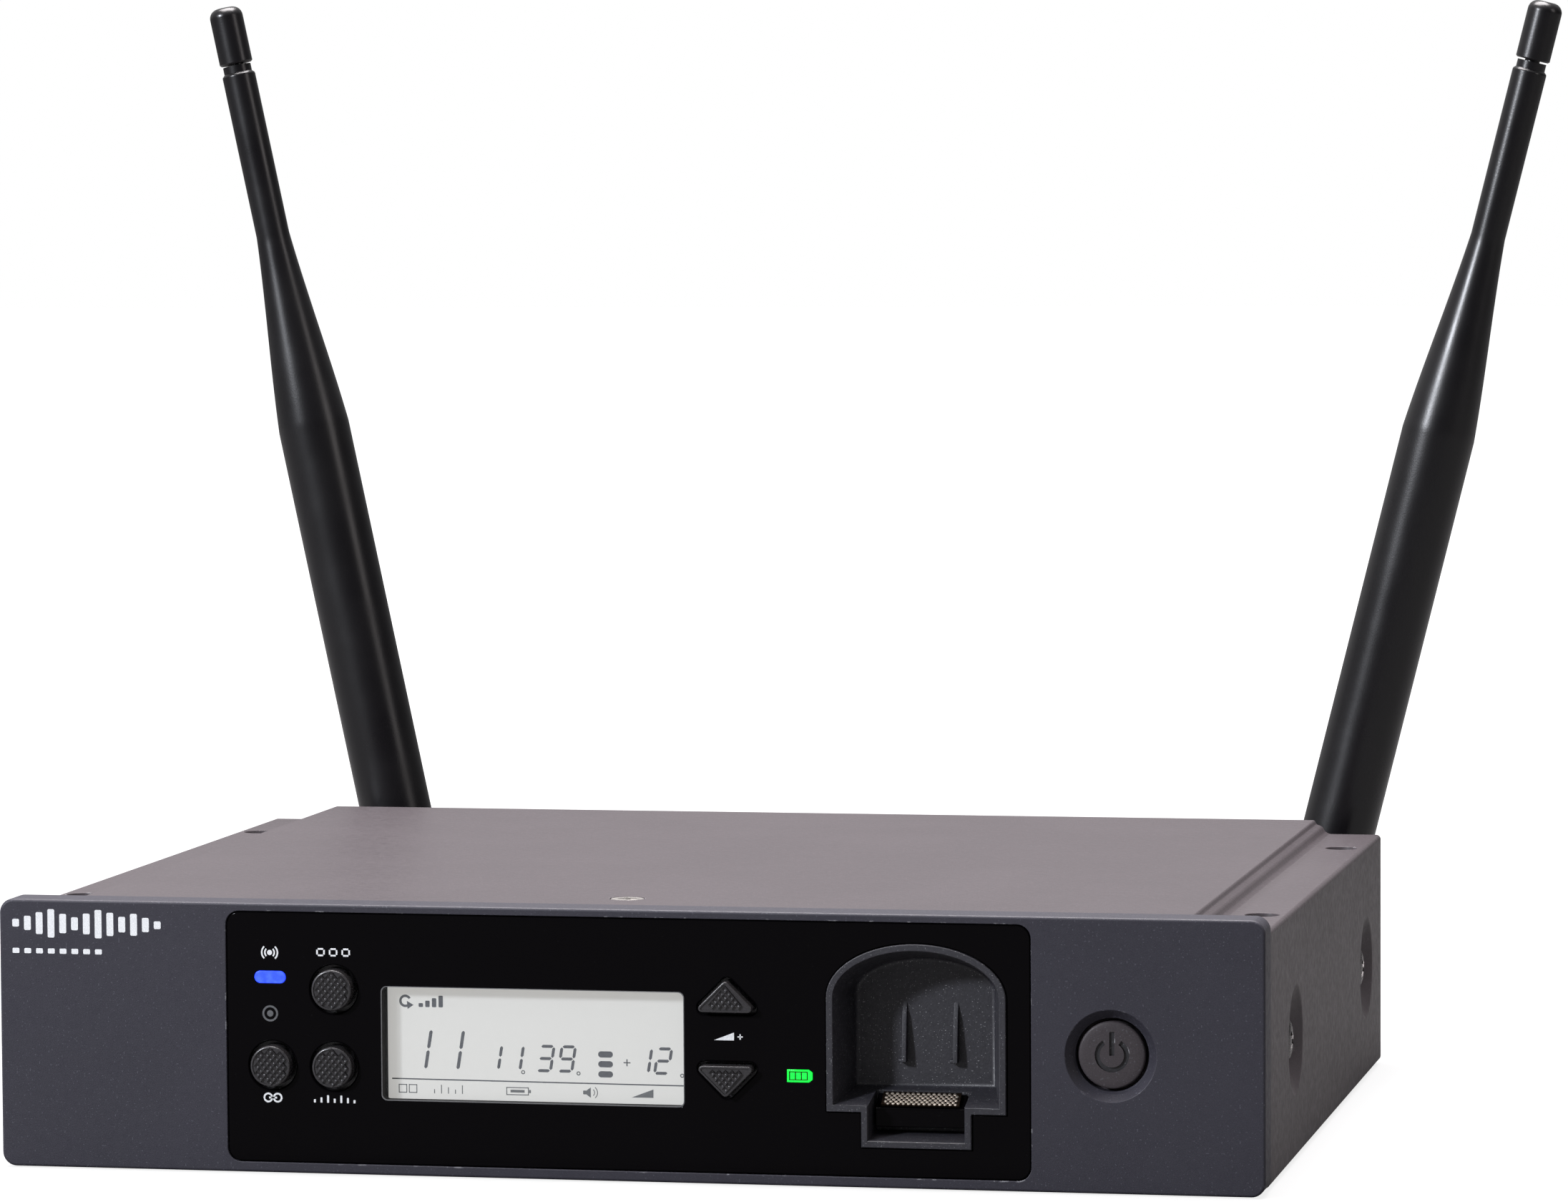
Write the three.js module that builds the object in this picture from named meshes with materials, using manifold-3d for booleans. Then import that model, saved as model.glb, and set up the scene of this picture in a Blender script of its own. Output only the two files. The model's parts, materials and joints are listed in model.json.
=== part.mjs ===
// Half-rack wireless microphone receiver: a cast front bezel with a glossy display panel,
// a wrap-round sheet cover, a base tray with rear connectors and two folding whip antennas.
// Millimetres. X runs to the right, Y from the front to the rear, Z up.
// Every length along Y below is a depth behind the bezel's front face; the last group moves
// the whole receiver forwards so that the origin is the centre of the base's underside.

import * as THREE from 'three';
import { mergeVertices } from 'three/addons/utils/BufferGeometryUtils.js';
import Module from 'manifold-3d';

const wasm = await Module();
wasm.setup();

// ---------------------------------------------------------------- driving dimensions

const WIDTH = 197;
const HEIGHT = 41.6;
const DEPTH = 152;
const HALF = WIDTH / 2;
const MID_HEIGHT = HEIGHT / 2;
const GAP = 0.3;
const FINE_GAP = 0.15;
const SHEET = 1.2;

const BEZEL_DEPTH = 6.5;
const BEZEL_CORNER = 2.2;
const BEZEL_EDGE = 0.45;
const BEZEL_SCREW_X = 90.5;
const BEZEL_SCREW_HEIGHTS = [9.5, 32];
const SCREW_HOLE_RADIUS = 1.6;

const PANEL = { x0: -62.0, x1: 63.0, z0: 1.75, z1: 40.2, corner: 2.0, front: 0.15, back: 2.15 };
const PANEL_LEDGE = 1.5;

const WINDOW = { x0: -37.6, x1: 9.8, z0: 11.6, z1: 29.1, corner: 0.9 };
const LCD = { x0: -38.6, x1: 10.8, z0: 9.6, z1: 31.0, front: 2.95, thick: 1.2 };
const LENS_FRONT = 2.3;
const LENS_THICK = 0.4;
const BACKLIGHT_THICK = 2.4;

const ROUND_CAP_RADIUS = 3.15;
const ROUND_SOCKET_RADIUS = 3.75;
const ROUND_BUTTONS = [
  { name: 'group_button', x: -45.1, z: 28.5 },
  { name: 'link_button', x: -54.9, z: 16.6 },
  { name: 'channel_button', x: -45.1, z: 16.6 },
];
const GAIN_X = 16.5;
const GAIN_HALF_WIDTH = 5.0;
const GAIN_TALL = 4.95;
const GAIN_CORNER = 0.6;
const GAIN_SOCKET_GROW = 0.45;
const GAIN_BUTTONS = [
  { name: 'gain_up_button', base: 26.3, up: 1 },
  { name: 'gain_down_button', base: 18.2, up: -1 },
];
const CAP_FRONT = -1.5;
const FLANGE_FRONT = 2.45;
const FLANGE_THICK = 0.8;
const STEM_END = 6.2;
const SWITCH_FRONT = 6.9;

const RF_LAMP = { x: -55.2, z: 30.2, wide: 5.0, tall: 1.9 };
const BATTERY_LAMP = { x: 27.7, z: 16.75, wide: 3.9, tall: 1.9, nub: 0.55 };

const POWER_X = 75.2;
const POWER_DISH_RADIUS = 6.85;
const POWER_DISH_DEPTH = 1.7;
const POWER_HOLE_RADIUS = 5.55;
const POWER_CAP_RADIUS = 5.1;
const POWER_CAP_FRONT = 1.2;
const POWER_POCKET_RADIUS = 7.6;
const POWER_POCKET_FRONT = 3.6;

const BAY = { x: 45.6, half: 13.75, top: 37.1, spring: 28.8, shoulder: 11.5 };
const BAY_TAB = { half: 8.45, bottom: 6.15 };
const BAY_RIM = 1.05;
const BAY_FRONT = -0.25;
const BAY_FLOOR = 8.5;
const BAY_BACK = 9.7;
const BAY_DRAFT = 2.1;
const TAB_BACK = 6.5;

const COVER_HALF = HALF - 0.3;
const COVER_TOP = HEIGHT - 0.1;
const LEDGE_TOP = 39.15;
const PLATEAU_HALF = 86.6;
const LEDGE_HALF = 89.5;
const COVER_FRONT = BEZEL_DEPTH + GAP;
const COVER_FOLD = 1.6;
const COVER_FOOT = 0.4;
const COVER_LIP = 3.5;
const LEDGE_HOLE_RADIUS = 2.65;
const LEDGE_HOLE_X = 94.2;
const LEDGE_HOLE_DEPTHS = [29, 129];
const TOP_SCREW = { x: -2.5, depth: 16, radius: 2.55 };

const DISH_RADIUS = 8.35;
const DISH_FLOOR_RADIUS = 4.4;
const DISH_DEPTH = 2.2;
const DISH_HEIGHT = 18.8;
const DISH_DEPTHS = { front: 38, rear: 131 };

const BASE_HALF = 94.4;
const BASE_FLANGE_TOP = 36;
const REAR_TOP = 37.6;
const REAR_INNER = DEPTH - SHEET;

const BOARD = { half: 86, front: 24, back: 146, bottom: 6, thick: 1.6 };
const POST_RADIUS = 3;
const POST_PLACES = [[-80, 30], [80, 30], [-80, 90], [80, 90]];

const XLR = { x: 20, barrel: 11.6, bore: 9.6, floor: 136, front: 128 };
const XLR_SCREWS = [{ label: 'upper', x: -9.5, z: 12 }, { label: 'lower', x: 9.5, z: -12 }];
const JACK = { x: -10, thread: 4.7, bore: 3.25 };
const INLET = { x: -42, half: 4.5, tall: 5.5 };
const LEVEL_SWITCH = { x: 50, travel: 4 };

const PIVOT_DEPTH = 167.5;
const WHIP_RADIUS = 6.3;
const WHIP_THIN_RADIUS = 2.95;
const WHIP_START = 7.6;
const WHIP_TAPER = [89, 124];
const WHIP_END = 154.8;
const WHIP_TIP = 165.3;
const TONGUE_HALF = 2.3;
const EAR_INNER = 2.7;
const EAR_OUTER = 5.6;
const EAR_RADIUS = 5.0;
const ANTENNAS = [
  { side: 'left', x: -76.2, lean: -11.9 },
  { side: 'right', x: 84.7, lean: 14.1 },
];

// ---------------------------------------------------------------- finishes

const finish = (color, roughness, metalness) => {
  return new THREE.MeshStandardMaterial({ color, roughness, metalness });
};
const CASTING = finish(0x4a4a50, 0.55, 0.4);
const COVER_PAINT = finish(0x6f6c6b, 0.6, 0.4);
const GLOSS_BLACK = finish(0x08080a, 0.08, 0.0);
const CLEAR = finish(0xd8dcdc, 0.05, 0.0);
const LCD_WHITE = finish(0xdcdcd2, 0.4, 0.0);
const BUTTON_BLACK = finish(0x26272a, 0.45, 0.0);
const LINER = finish(0x2e2f34, 0.6, 0.0);
const BLUE_LAMP = finish(0x2a4bff, 0.3, 0.0);
const GREEN_LAMP = finish(0x08e040, 0.3, 0.0);
const BRONZE = finish(0xb08a62, 0.35, 0.9);
const CIRCUIT = finish(0x1f5a34, 0.5, 0.0);
const TIN = finish(0xb9bcbe, 0.35, 0.9);
const SCREW_STEEL = finish(0x9a9590, 0.3, 0.9);
const BLACK_PLASTIC = finish(0x17181a, 0.5, 0.0);
const ANTENNA_BLACK = finish(0x1c1c1e, 0.5, 0.0);

// ---------------------------------------------------------------- solids and geometry

const FINE_ROUND = 24;
const ROUND = 18;
const SMALL_ROUND = 10;

function signedVolume(positions, index) {
  const [a, b, c] = [new THREE.Vector3(), new THREE.Vector3(), new THREE.Vector3()];
  let volume = 0;
  for (let i = 0; i < index.length; i += 3) {
    a.fromArray(positions, index[i] * 3);
    b.fromArray(positions, index[i + 1] * 3);
    c.fromArray(positions, index[i + 2] * 3);
    volume += a.dot(b.cross(c));
  }
  return volume;
}

// Turns a closed geometry into a solid whose faces point outwards.
function solid(geometry) {
  const bare = geometry.clone();
  for (const name of Object.keys(bare.attributes)) {
    if (name !== 'position') bare.deleteAttribute(name);
  }
  const merged = mergeVertices(bare, 1e-4);
  const positions = Array.from(merged.attributes.position.array);
  const triangles = [];
  const index = Array.from(merged.index.array);
  const outward = signedVolume(positions, index) > 0;
  for (let i = 0; i < index.length; i += 3) {
    const [a, b, c] = index.slice(i, i + 3);
    if (a === b || b === c || c === a) continue;
    triangles.push(a, outward ? b : c, outward ? c : b);
  }
  const mesh = new wasm.Mesh({
    numProp: 3,
    vertProperties: new Float32Array(positions),
    triVerts: new Uint32Array(triangles),
  });
  return new wasm.Manifold(mesh);
}

function geometryOf(body) {
  const mesh = body.getMesh();
  const geometry = new THREE.BufferGeometry();
  geometry.setAttribute('position', new THREE.BufferAttribute(new Float32Array(mesh.vertProperties), 3));
  geometry.setIndex(new THREE.BufferAttribute(new Uint32Array(mesh.triVerts), 1));
  geometry.computeVertexNormals();
  return geometry;
}

const joined = (first, ...rest) => rest.reduce((sum, next) => sum.add(next), first);
const cut = (first, ...rest) => rest.reduce((left, next) => left.subtract(next), first);

function box(x0, x1, y0, y1, z0, z1) {
  const geometry = new THREE.BoxGeometry(x1 - x0, y1 - y0, z1 - z0);
  geometry.translate((x0 + x1) / 2, (y0 + y1) / 2, (z0 + z1) / 2);
  return solid(geometry);
}

// A flat outline drawn in X and Z, given its thickness from front to back along Y.
function plate(shape, front, back, segments = 4) {
  const geometry = new THREE.ExtrudeGeometry(shape, {
    depth: back - front,
    bevelEnabled: false,
    curveSegments: segments,
  });
  geometry.rotateX(Math.PI / 2);
  geometry.translate(0, back, 0);
  return solid(geometry);
}

// Points [radius, distance] turned about an axis through the given place.
function turned(profile, axis, place, segments = ROUND) {
  const points = profile.map(([radius, along]) => new THREE.Vector2(radius, along));
  const geometry = new THREE.LatheGeometry(points, segments);
  if (axis === 'x') geometry.rotateZ(-Math.PI / 2);
  if (axis === 'z') geometry.rotateX(Math.PI / 2);
  geometry.translate(...place);
  return solid(geometry);
}

function rod(radius, start, end, axis, place, segments = ROUND) {
  const profile = [[0, start], [radius, start], [radius, end], [0, end]];
  return turned(profile, axis, place, segments);
}

// A straight loft between two outlines of equal point count, closed at both ends.
function loft(frontOutline, frontDepth, backOutline, backDepth) {
  const count = frontOutline.length;
  const clockwise = THREE.ShapeUtils.isClockWise(frontOutline);
  const [nearPoints, farPoints] = [frontOutline, backOutline].map((points) => (
    clockwise ? points.slice().reverse() : points
  ));
  const positions = [];
  for (const [outline, depth] of [[nearPoints, frontDepth], [farPoints, backDepth]]) {
    for (const point of outline) positions.push(point.x, depth, point.y);
  }
  const index = [];
  for (let i = 0; i < count; i += 1) {
    const next = (i + 1) % count;
    index.push(i, next, count + next, i, count + next, count + i);
  }
  for (const [a, b, c] of THREE.ShapeUtils.triangulateShape(nearPoints, [])) index.push(a, c, b);
  for (const [a, b, c] of THREE.ShapeUtils.triangulateShape(farPoints, [])) {
    index.push(count + a, count + b, count + c);
  }
  const geometry = new THREE.BufferGeometry();
  geometry.setAttribute('position', new THREE.BufferAttribute(new Float32Array(positions), 3));
  geometry.setIndex(index);
  return solid(geometry);
}

// ---------------------------------------------------------------- outlines in X and Z

function roundedRect(x0, x1, z0, z1, radius) {
  const shape = new THREE.Shape();
  shape.absarc(x1 - radius, z0 + radius, radius, -Math.PI / 2, 0);
  shape.absarc(x1 - radius, z1 - radius, radius, 0, Math.PI / 2);
  shape.absarc(x0 + radius, z1 - radius, radius, Math.PI / 2, Math.PI);
  shape.absarc(x0 + radius, z0 + radius, radius, Math.PI, Math.PI * 1.5);
  return shape;
}

// A triangle with round corners that points up or down, grown outwards by an even margin.
function trianglePoints(base, up, grow) {
  const slant = Math.hypot(GAIN_HALF_WIDTH, GAIN_TALL);
  const inner = (GAIN_HALF_WIDTH * GAIN_TALL) / (GAIN_HALF_WIDTH + slant);
  const scale = (inner + grow) / inner;
  const radius = GAIN_CORNER + grow;
  const corners = [[-GAIN_HALF_WIDTH, 0], [GAIN_HALF_WIDTH, 0], [0, GAIN_TALL]].map(([x, z]) => (
    new THREE.Vector2(x * scale, inner + (z - inner) * scale)
  ));
  const points = [];
  for (let i = 0; i < 3; i += 1) {
    const corner = corners[i];
    const before = corners[(i + 2) % 3].clone().sub(corner).normalize();
    const after = corners[(i + 1) % 3].clone().sub(corner).normalize();
    const half = before.angleTo(after) / 2;
    const middle = before.clone().add(after).normalize();
    const centre = corner.clone().addScaledVector(middle, radius / Math.sin(half));
    const sweep = Math.PI - 2 * half;
    const start = middle.angle() + Math.PI - sweep / 2;
    for (let step = 0; step <= 4; step += 1) {
      const angle = start + (sweep * step) / 4;
      const x = centre.x + radius * Math.cos(angle);
      points.push(new THREE.Vector2(x, centre.y + radius * Math.sin(angle)));
    }
  }
  return points.map((point) => new THREE.Vector2(GAIN_X + point.x, base + up * point.y));
}

const triangleOutline = (base, up, grow) => new THREE.Shape(trianglePoints(base, up, grow));

// The bay's arch: a half ellipse over straight sides and a flat floor.
function bayArch(inset, steps = 14) {
  const half = BAY.half - inset;
  const rise = BAY.top - BAY.spring - inset;
  const points = [new THREE.Vector2(BAY.x - half, BAY.shoulder + inset)];
  points.push(new THREE.Vector2(BAY.x + half, BAY.shoulder + inset));
  for (let step = 0; step <= steps; step += 1) {
    const angle = (Math.PI * step) / steps;
    points.push(new THREE.Vector2(BAY.x + half * Math.cos(angle), BAY.spring + rise * Math.sin(angle)));
  }
  return points;
}

// The bay's whole mouth, with its square tab below the arch.
function bayMouth(grow) {
  const arch = bayArch(-grow);
  const floor = BAY.shoulder - grow;
  const half = BAY_TAB.half + grow;
  const bottom = BAY_TAB.bottom - grow;
  const tab = [[-half, floor], [-half, bottom], [half, bottom], [half, floor]];
  const points = [arch[0], ...tab.map(([x, z]) => new THREE.Vector2(BAY.x + x, z)), ...arch.slice(1)];
  return new THREE.Shape(points);
}

function batteryLampOutline(grow) {
  const { x, z, wide, tall, nub } = BATTERY_LAMP;
  const [left, right] = [x - wide / 2 - grow, x + wide / 2 + grow];
  const [low, high] = [z - tall / 2 - grow, z + tall / 2 + grow];
  const shoulder = right - nub;
  const corner = nub * 0.75;
  const points = [
    [left, low], [shoulder, low], [right, low + corner],
    [right, high - corner], [shoulder, high], [left, high],
  ];
  return new THREE.Shape(points.map(([px, pz]) => new THREE.Vector2(px, pz)));
}

const rfLampOutline = (grow) => roundedRect(
  RF_LAMP.x - RF_LAMP.wide / 2 - grow,
  RF_LAMP.x + RF_LAMP.wide / 2 + grow,
  RF_LAMP.z - RF_LAMP.tall / 2 - grow,
  RF_LAMP.z + RF_LAMP.tall / 2 + grow,
  RF_LAMP.tall / 2 + grow - 0.01,
);

// ---------------------------------------------------------------- the front

function frontBezel() {
  const geometry = new THREE.ExtrudeGeometry(
    roundedRect(
      -HALF + BEZEL_EDGE, HALF - BEZEL_EDGE, BEZEL_EDGE, HEIGHT - BEZEL_EDGE, BEZEL_CORNER - BEZEL_EDGE,
    ),
    {
      depth: BEZEL_DEPTH - 2 * BEZEL_EDGE,
      bevelThickness: BEZEL_EDGE,
      bevelSize: BEZEL_EDGE,
      bevelSegments: 1,
      curveSegments: 5,
    },
  );
  geometry.rotateX(Math.PI / 2);
  geometry.translate(0, BEZEL_DEPTH - BEZEL_EDGE, 0);
  const { x0, x1, z0, z1, corner, back } = PANEL;
  const seat = roundedRect(x0 - FINE_GAP, x1 + FINE_GAP, z0 - FINE_GAP, z1 + FINE_GAP, corner + FINE_GAP);
  const through = roundedRect(
    x0 + PANEL_LEDGE, x1 - PANEL_LEDGE, z0 + PANEL_LEDGE, z1 - PANEL_LEDGE, corner,
  );
  const dish = turned(
    [
      [0, -1], [POWER_DISH_RADIUS + 0.6, -1], [POWER_DISH_RADIUS, 0.1],
      [POWER_HOLE_RADIUS + 0.2, POWER_DISH_DEPTH - 0.2], [POWER_HOLE_RADIUS, POWER_DISH_DEPTH],
      [POWER_HOLE_RADIUS, BEZEL_DEPTH + 1], [0, BEZEL_DEPTH + 1],
    ],
    'y', [POWER_X, 0, MID_HEIGHT], FINE_ROUND,
  );
  const powerCentre = [POWER_X, 0, MID_HEIGHT];
  const pocket = rod(POWER_POCKET_RADIUS, POWER_POCKET_FRONT, BEZEL_DEPTH + 1, 'y', powerCentre);
  const lug = box(TOP_SCREW.x - 6, TOP_SCREW.x + 6, BEZEL_DEPTH - 1, 21, 38.75, 39.95);
  const lugHole = rod(1.5, 35, 42, 'z', [TOP_SCREW.x, TOP_SCREW.depth, 0], SMALL_ROUND);
  const screwHoles = [];
  for (const x of [-BEZEL_SCREW_X, BEZEL_SCREW_X]) {
    for (const z of BEZEL_SCREW_HEIGHTS) {
      screwHoles.push(rod(SCREW_HOLE_RADIUS, 2.4, BEZEL_DEPTH + 1, 'y', [x, 0, z], SMALL_ROUND));
    }
  }
  const casting = joined(solid(geometry), lug);
  return cut(
    casting, plate(seat, -1, back + FINE_GAP), plate(through, -1, BEZEL_DEPTH + 1), dish, pocket, lugHole,
    ...screwHoles,
  );
}

function displayPanel() {
  const { x0, x1, z0, z1, corner, front, back } = PANEL;
  const shape = roundedRect(x0, x1, z0, z1, corner);
  const window = roundedRect(WINDOW.x0, WINDOW.x1, WINDOW.z0, WINDOW.z1, WINDOW.corner);
  const sockets = ROUND_BUTTONS.map(({ x, z }) => rod(ROUND_SOCKET_RADIUS, -1, 3, 'y', [x, 0, z]));
  const gains = GAIN_BUTTONS.map(({ base, up }) => {
    return plate(triangleOutline(base, up, GAIN_SOCKET_GROW), -1, 3);
  });
  return cut(
    plate(shape, front, back), plate(window, -1, 3), plate(bayMouth(FINE_GAP), -1, 3),
    plate(rfLampOutline(FINE_GAP), -1, 3, 6), plate(batteryLampOutline(FINE_GAP), -1, 3),
    ...sockets, ...gains,
  );
}

function roundButton({ x, z }) {
  const flangeBack = FLANGE_FRONT + FLANGE_THICK;
  const profile = [
    [0, CAP_FRONT], [ROUND_CAP_RADIUS - 0.4, CAP_FRONT], [ROUND_CAP_RADIUS, CAP_FRONT + 0.4],
    [ROUND_CAP_RADIUS, FLANGE_FRONT], [4.5, FLANGE_FRONT],
    [4.5, flangeBack], [1.4, flangeBack], [1.4, STEM_END], [0, STEM_END],
  ];
  return turned(profile, 'y', [x, 0, z]);
}

function gainButton({ base, up }) {
  const cap = plate(triangleOutline(base, up, 0), CAP_FRONT + 0.35, FLANGE_FRONT + 0.4);
  const edge = loft(
    trianglePoints(base, up, -0.3), CAP_FRONT, trianglePoints(base, up, 0), CAP_FRONT + 0.4,
  );
  const flange = plate(triangleOutline(base, up, 0.9), FLANGE_FRONT, FLANGE_FRONT + FLANGE_THICK);
  const stem = rod(1.2, FLANGE_FRONT, STEM_END, 'y', [GAIN_X, 0, base + up * 1.9], SMALL_ROUND);
  return joined(cap, edge, flange, stem);
}

function powerButton() {
  const face = POWER_CAP_FRONT;
  const profile = [
    [0, face], [POWER_CAP_RADIUS - 0.35, face], [POWER_CAP_RADIUS, face + 0.35],
    [POWER_CAP_RADIUS, 3.9], [6.6, 3.9], [6.6, 4.9], [1.6, 4.9],
    [1.6, 7.6], [0, 7.6],
  ];
  const cap = turned(profile, 'y', [POWER_X, 0, MID_HEIGHT], FINE_ROUND);
  const ring = new THREE.Shape();
  const opening = THREE.MathUtils.degToRad(33);
  ring.absarc(POWER_X, MID_HEIGHT, 2.6, Math.PI / 2 + opening, Math.PI * 2.5 - opening);
  ring.absarc(POWER_X, MID_HEIGHT, 1.85, Math.PI * 2.5 - opening, Math.PI / 2 + opening, true);
  const bar = roundedRect(POWER_X - 0.38, POWER_X + 0.38, MID_HEIGHT - 0.1, MID_HEIGHT + 3.5, 0.3);
  return cut(cap, plate(ring, 0, face + 0.3, 9), plate(bar, 0, face + 0.3, 2));
}

function batteryBay() {
  const outer = plate(bayMouth(0), BAY_FRONT, BAY_BACK);
  const arch = loft(bayArch(BAY_RIM), BAY_FRONT, bayArch(BAY_RIM + BAY_DRAFT), BAY_FLOOR);
  const mouth = loft(bayArch(BAY_RIM), BAY_FRONT - 1, bayArch(BAY_RIM), BAY_FRONT + 0.01);
  const half = BAY_TAB.half - BAY_RIM;
  const low = BAY_TAB.bottom + BAY_RIM;
  const rect = (inset, rise) => [
    [-half + inset, low + rise], [half - inset, low + rise], [half - inset, 14.6], [-half + inset, 14.6],
  ].map(([x, z]) => new THREE.Vector2(BAY.x + x, z));
  const tab = loft(rect(0, 0), BAY_FRONT - 1, rect(0.15, 0.8), TAB_BACK);
  const tail = box(BAY.x - 4.8, BAY.x + 4.8, TAB_BACK - 1, BAY_BACK + 1, 9.4, 12.2);
  const shell = cut(outer, arch, mouth, tab, tail);
  const ribs = [-3.2, 4.7].map((offset) => {
    const side = [[0, 0], [9.3, 0], [0, -1.5]].map(([down, out]) => new THREE.Vector2(down, out));
    const geometry = new THREE.ExtrudeGeometry(new THREE.Shape(side), { depth: 0.95, bevelEnabled: false });
    // The side view lies in Z and Y; it is turned upright and set on the bay's back wall.
    const upright = new THREE.Matrix4().set(
      0, 0, 1, BAY.x + offset - 0.475,
      0, 1, 0, BAY_FLOOR + 0.05,
      1, 0, 0, 18.2,
      0, 0, 0, 1,
    );
    return solid(geometry.applyMatrix4(upright));
  });
  return joined(shell, ...ribs);
}

// The contact block stands in the tab with a sloping top; its tail goes back to the charger board.
const BLOCK = { half: 6.9, front: 3.2, back: 6.0, low: 8.9, edge: 11.7, high: 13.7 };

function contactBlock() {
  const side = [
    [BLOCK.front, BLOCK.low], [BLOCK.back, BLOCK.low], [BLOCK.back, BLOCK.high], [BLOCK.front, BLOCK.edge],
  ].map(([depth, z]) => new THREE.Vector2(depth, z));
  const geometry = new THREE.ExtrudeGeometry(new THREE.Shape(side), {
    depth: BLOCK.half * 2,
    bevelEnabled: false,
  });
  const across = new THREE.Matrix4().set(
    0, 0, 1, BAY.x - BLOCK.half,
    1, 0, 0, 0,
    0, 1, 0, 0,
    0, 0, 0, 1,
  );
  const tail = box(BAY.x - 4.4, BAY.x + 4.4, BLOCK.back - 0.5, 10.4, 9.75, 11.85);
  return joined(solid(geometry.applyMatrix4(across)), tail);
}

function contactPlate() {
  const run = BLOCK.back - BLOCK.front;
  const rise = BLOCK.high - BLOCK.edge;
  const slope = Math.hypot(run, rise);
  const [along, up] = [run / slope, rise / slope];
  const lift = 0.18;
  const thick = 0.3;
  const corner = (distance, height) => new THREE.Vector2(
    BLOCK.front + along * distance - up * height,
    BLOCK.edge + up * distance + along * height,
  );
  const side = [
    corner(0.35, lift), corner(slope - 0.25, lift),
    corner(slope - 0.25, lift + thick), corner(0.35, lift + thick),
  ];
  const geometry = new THREE.ExtrudeGeometry(new THREE.Shape(side), { depth: 12, bevelEnabled: false });
  const across = new THREE.Matrix4().set(
    0, 0, 1, BAY.x - 6,
    1, 0, 0, 0,
    0, 1, 0, 0,
    0, 0, 0, 1,
  );
  return solid(geometry.applyMatrix4(across));
}

// ---------------------------------------------------------------- boards behind the front

function frontBoard() {
  const board = box(-60, 28.5, SWITCH_FRONT + 1.5, SWITCH_FRONT + 3.1, 4.2, 37);
  const places = ROUND_BUTTONS.map(({ x, z }) => [x, z]);
  for (const { base, up } of GAIN_BUTTONS) places.push([GAIN_X, base + up * 1.9]);
  const switches = places.map(([x, z]) => (
    box(x - 2.4, x + 2.4, SWITCH_FRONT, SWITCH_FRONT + 1.6, z - 2.4, z + 2.4)
  ));
  const lamps = [RF_LAMP, BATTERY_LAMP].map(({ x, z }) => (
    box(x - 1.5, x + 1.5, SWITCH_FRONT, SWITCH_FRONT + 1.6, z - 0.9, z + 0.9)
  ));
  return joined(board, ...switches, ...lamps);
}

function powerBoard() {
  const board = box(65, 85.2, 10.4, 12, 9, 33);
  const keySwitch = box(POWER_X - 3, POWER_X + 3, 8.7, 10.5, MID_HEIGHT - 3, MID_HEIGHT + 3);
  return joined(board, keySwitch);
}

// ---------------------------------------------------------------- the case

// Height of the cover's upper surface across its width.
function coverTop(x) {
  const t = THREE.MathUtils.smoothstep(Math.abs(x), PLATEAU_HALF, LEDGE_HALF);
  return COVER_TOP - (COVER_TOP - LEDGE_TOP) * t;
}

// The folded sheet's section: plateau, joggle, ledge, side wall and the lip under it, both sides.
function coverSection() {
  const outer = [];
  const inner = [];
  const sheetPoint = (list, x, z) => list.push(new THREE.Vector2(x, z));
  const steps = 4;
  for (let step = 0; step <= steps; step += 1) {
    const x = PLATEAU_HALF + ((LEDGE_HALF - PLATEAU_HALF) * step) / steps;
    sheetPoint(outer, x, coverTop(x));
    sheetPoint(inner, x - 0.45, coverTop(x) - SHEET);
  }
  const foldX = COVER_HALF - COVER_FOLD;
  const innerFold = COVER_FOLD - SHEET;
  const bend = (centreZ, from) => {
    for (let step = 0; step <= 3; step += 1) {
      const angle = from - (Math.PI / 2) * (step / 3);
      const [c, s] = [Math.cos(angle), Math.sin(angle)];
      sheetPoint(outer, foldX + COVER_FOLD * c, centreZ + COVER_FOLD * s);
      sheetPoint(inner, foldX + innerFold * c, centreZ + innerFold * s);
    }
  };
  bend(LEDGE_TOP - COVER_FOLD, Math.PI / 2);
  bend(COVER_FOOT + COVER_FOLD, 0);
  sheetPoint(outer, COVER_HALF - COVER_LIP, COVER_FOOT);
  sheetPoint(inner, COVER_HALF - COVER_LIP, COVER_FOOT + SHEET);
  const half = [...outer, ...inner.reverse()];
  const mirror = (point) => new THREE.Vector2(-point.x, point.y);
  return new THREE.Shape([
    ...outer.slice().reverse().map(mirror), ...half, ...half.slice(outer.length).reverse().map(mirror),
  ]);
}

// A cup pressed into a side wall, and the hollow that is cut from its outside.
function dishCup(side, depth) {
  const profile = (radius, floorRadius, start, end, flat) => [
    [0, start], [floorRadius, start], [radius, end], [radius, flat], [0, flat],
  ].map(([r, along]) => [r, along * side]);
  const place = [0, depth, DISH_HEIGHT];
  const floor = COVER_HALF - DISH_DEPTH;
  const cup = turned(
    profile(
      DISH_RADIUS + 1.0, DISH_FLOOR_RADIUS + 1.2, floor - SHEET, COVER_HALF - SHEET + 0.2, COVER_HALF - 0.4,
    ),
    'x', place, FINE_ROUND,
  );
  const hollow = turned(
    profile(DISH_RADIUS + 0.9, DISH_FLOOR_RADIUS, floor, COVER_HALF + 0.5, COVER_HALF + 2),
    'x', place, FINE_ROUND,
  );
  const screwHole = rod(1.7, (COVER_HALF - 8) * side, (COVER_HALF + 1) * side, 'x', place, SMALL_ROUND);
  return { cup, hollow, screwHole };
}

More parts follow.
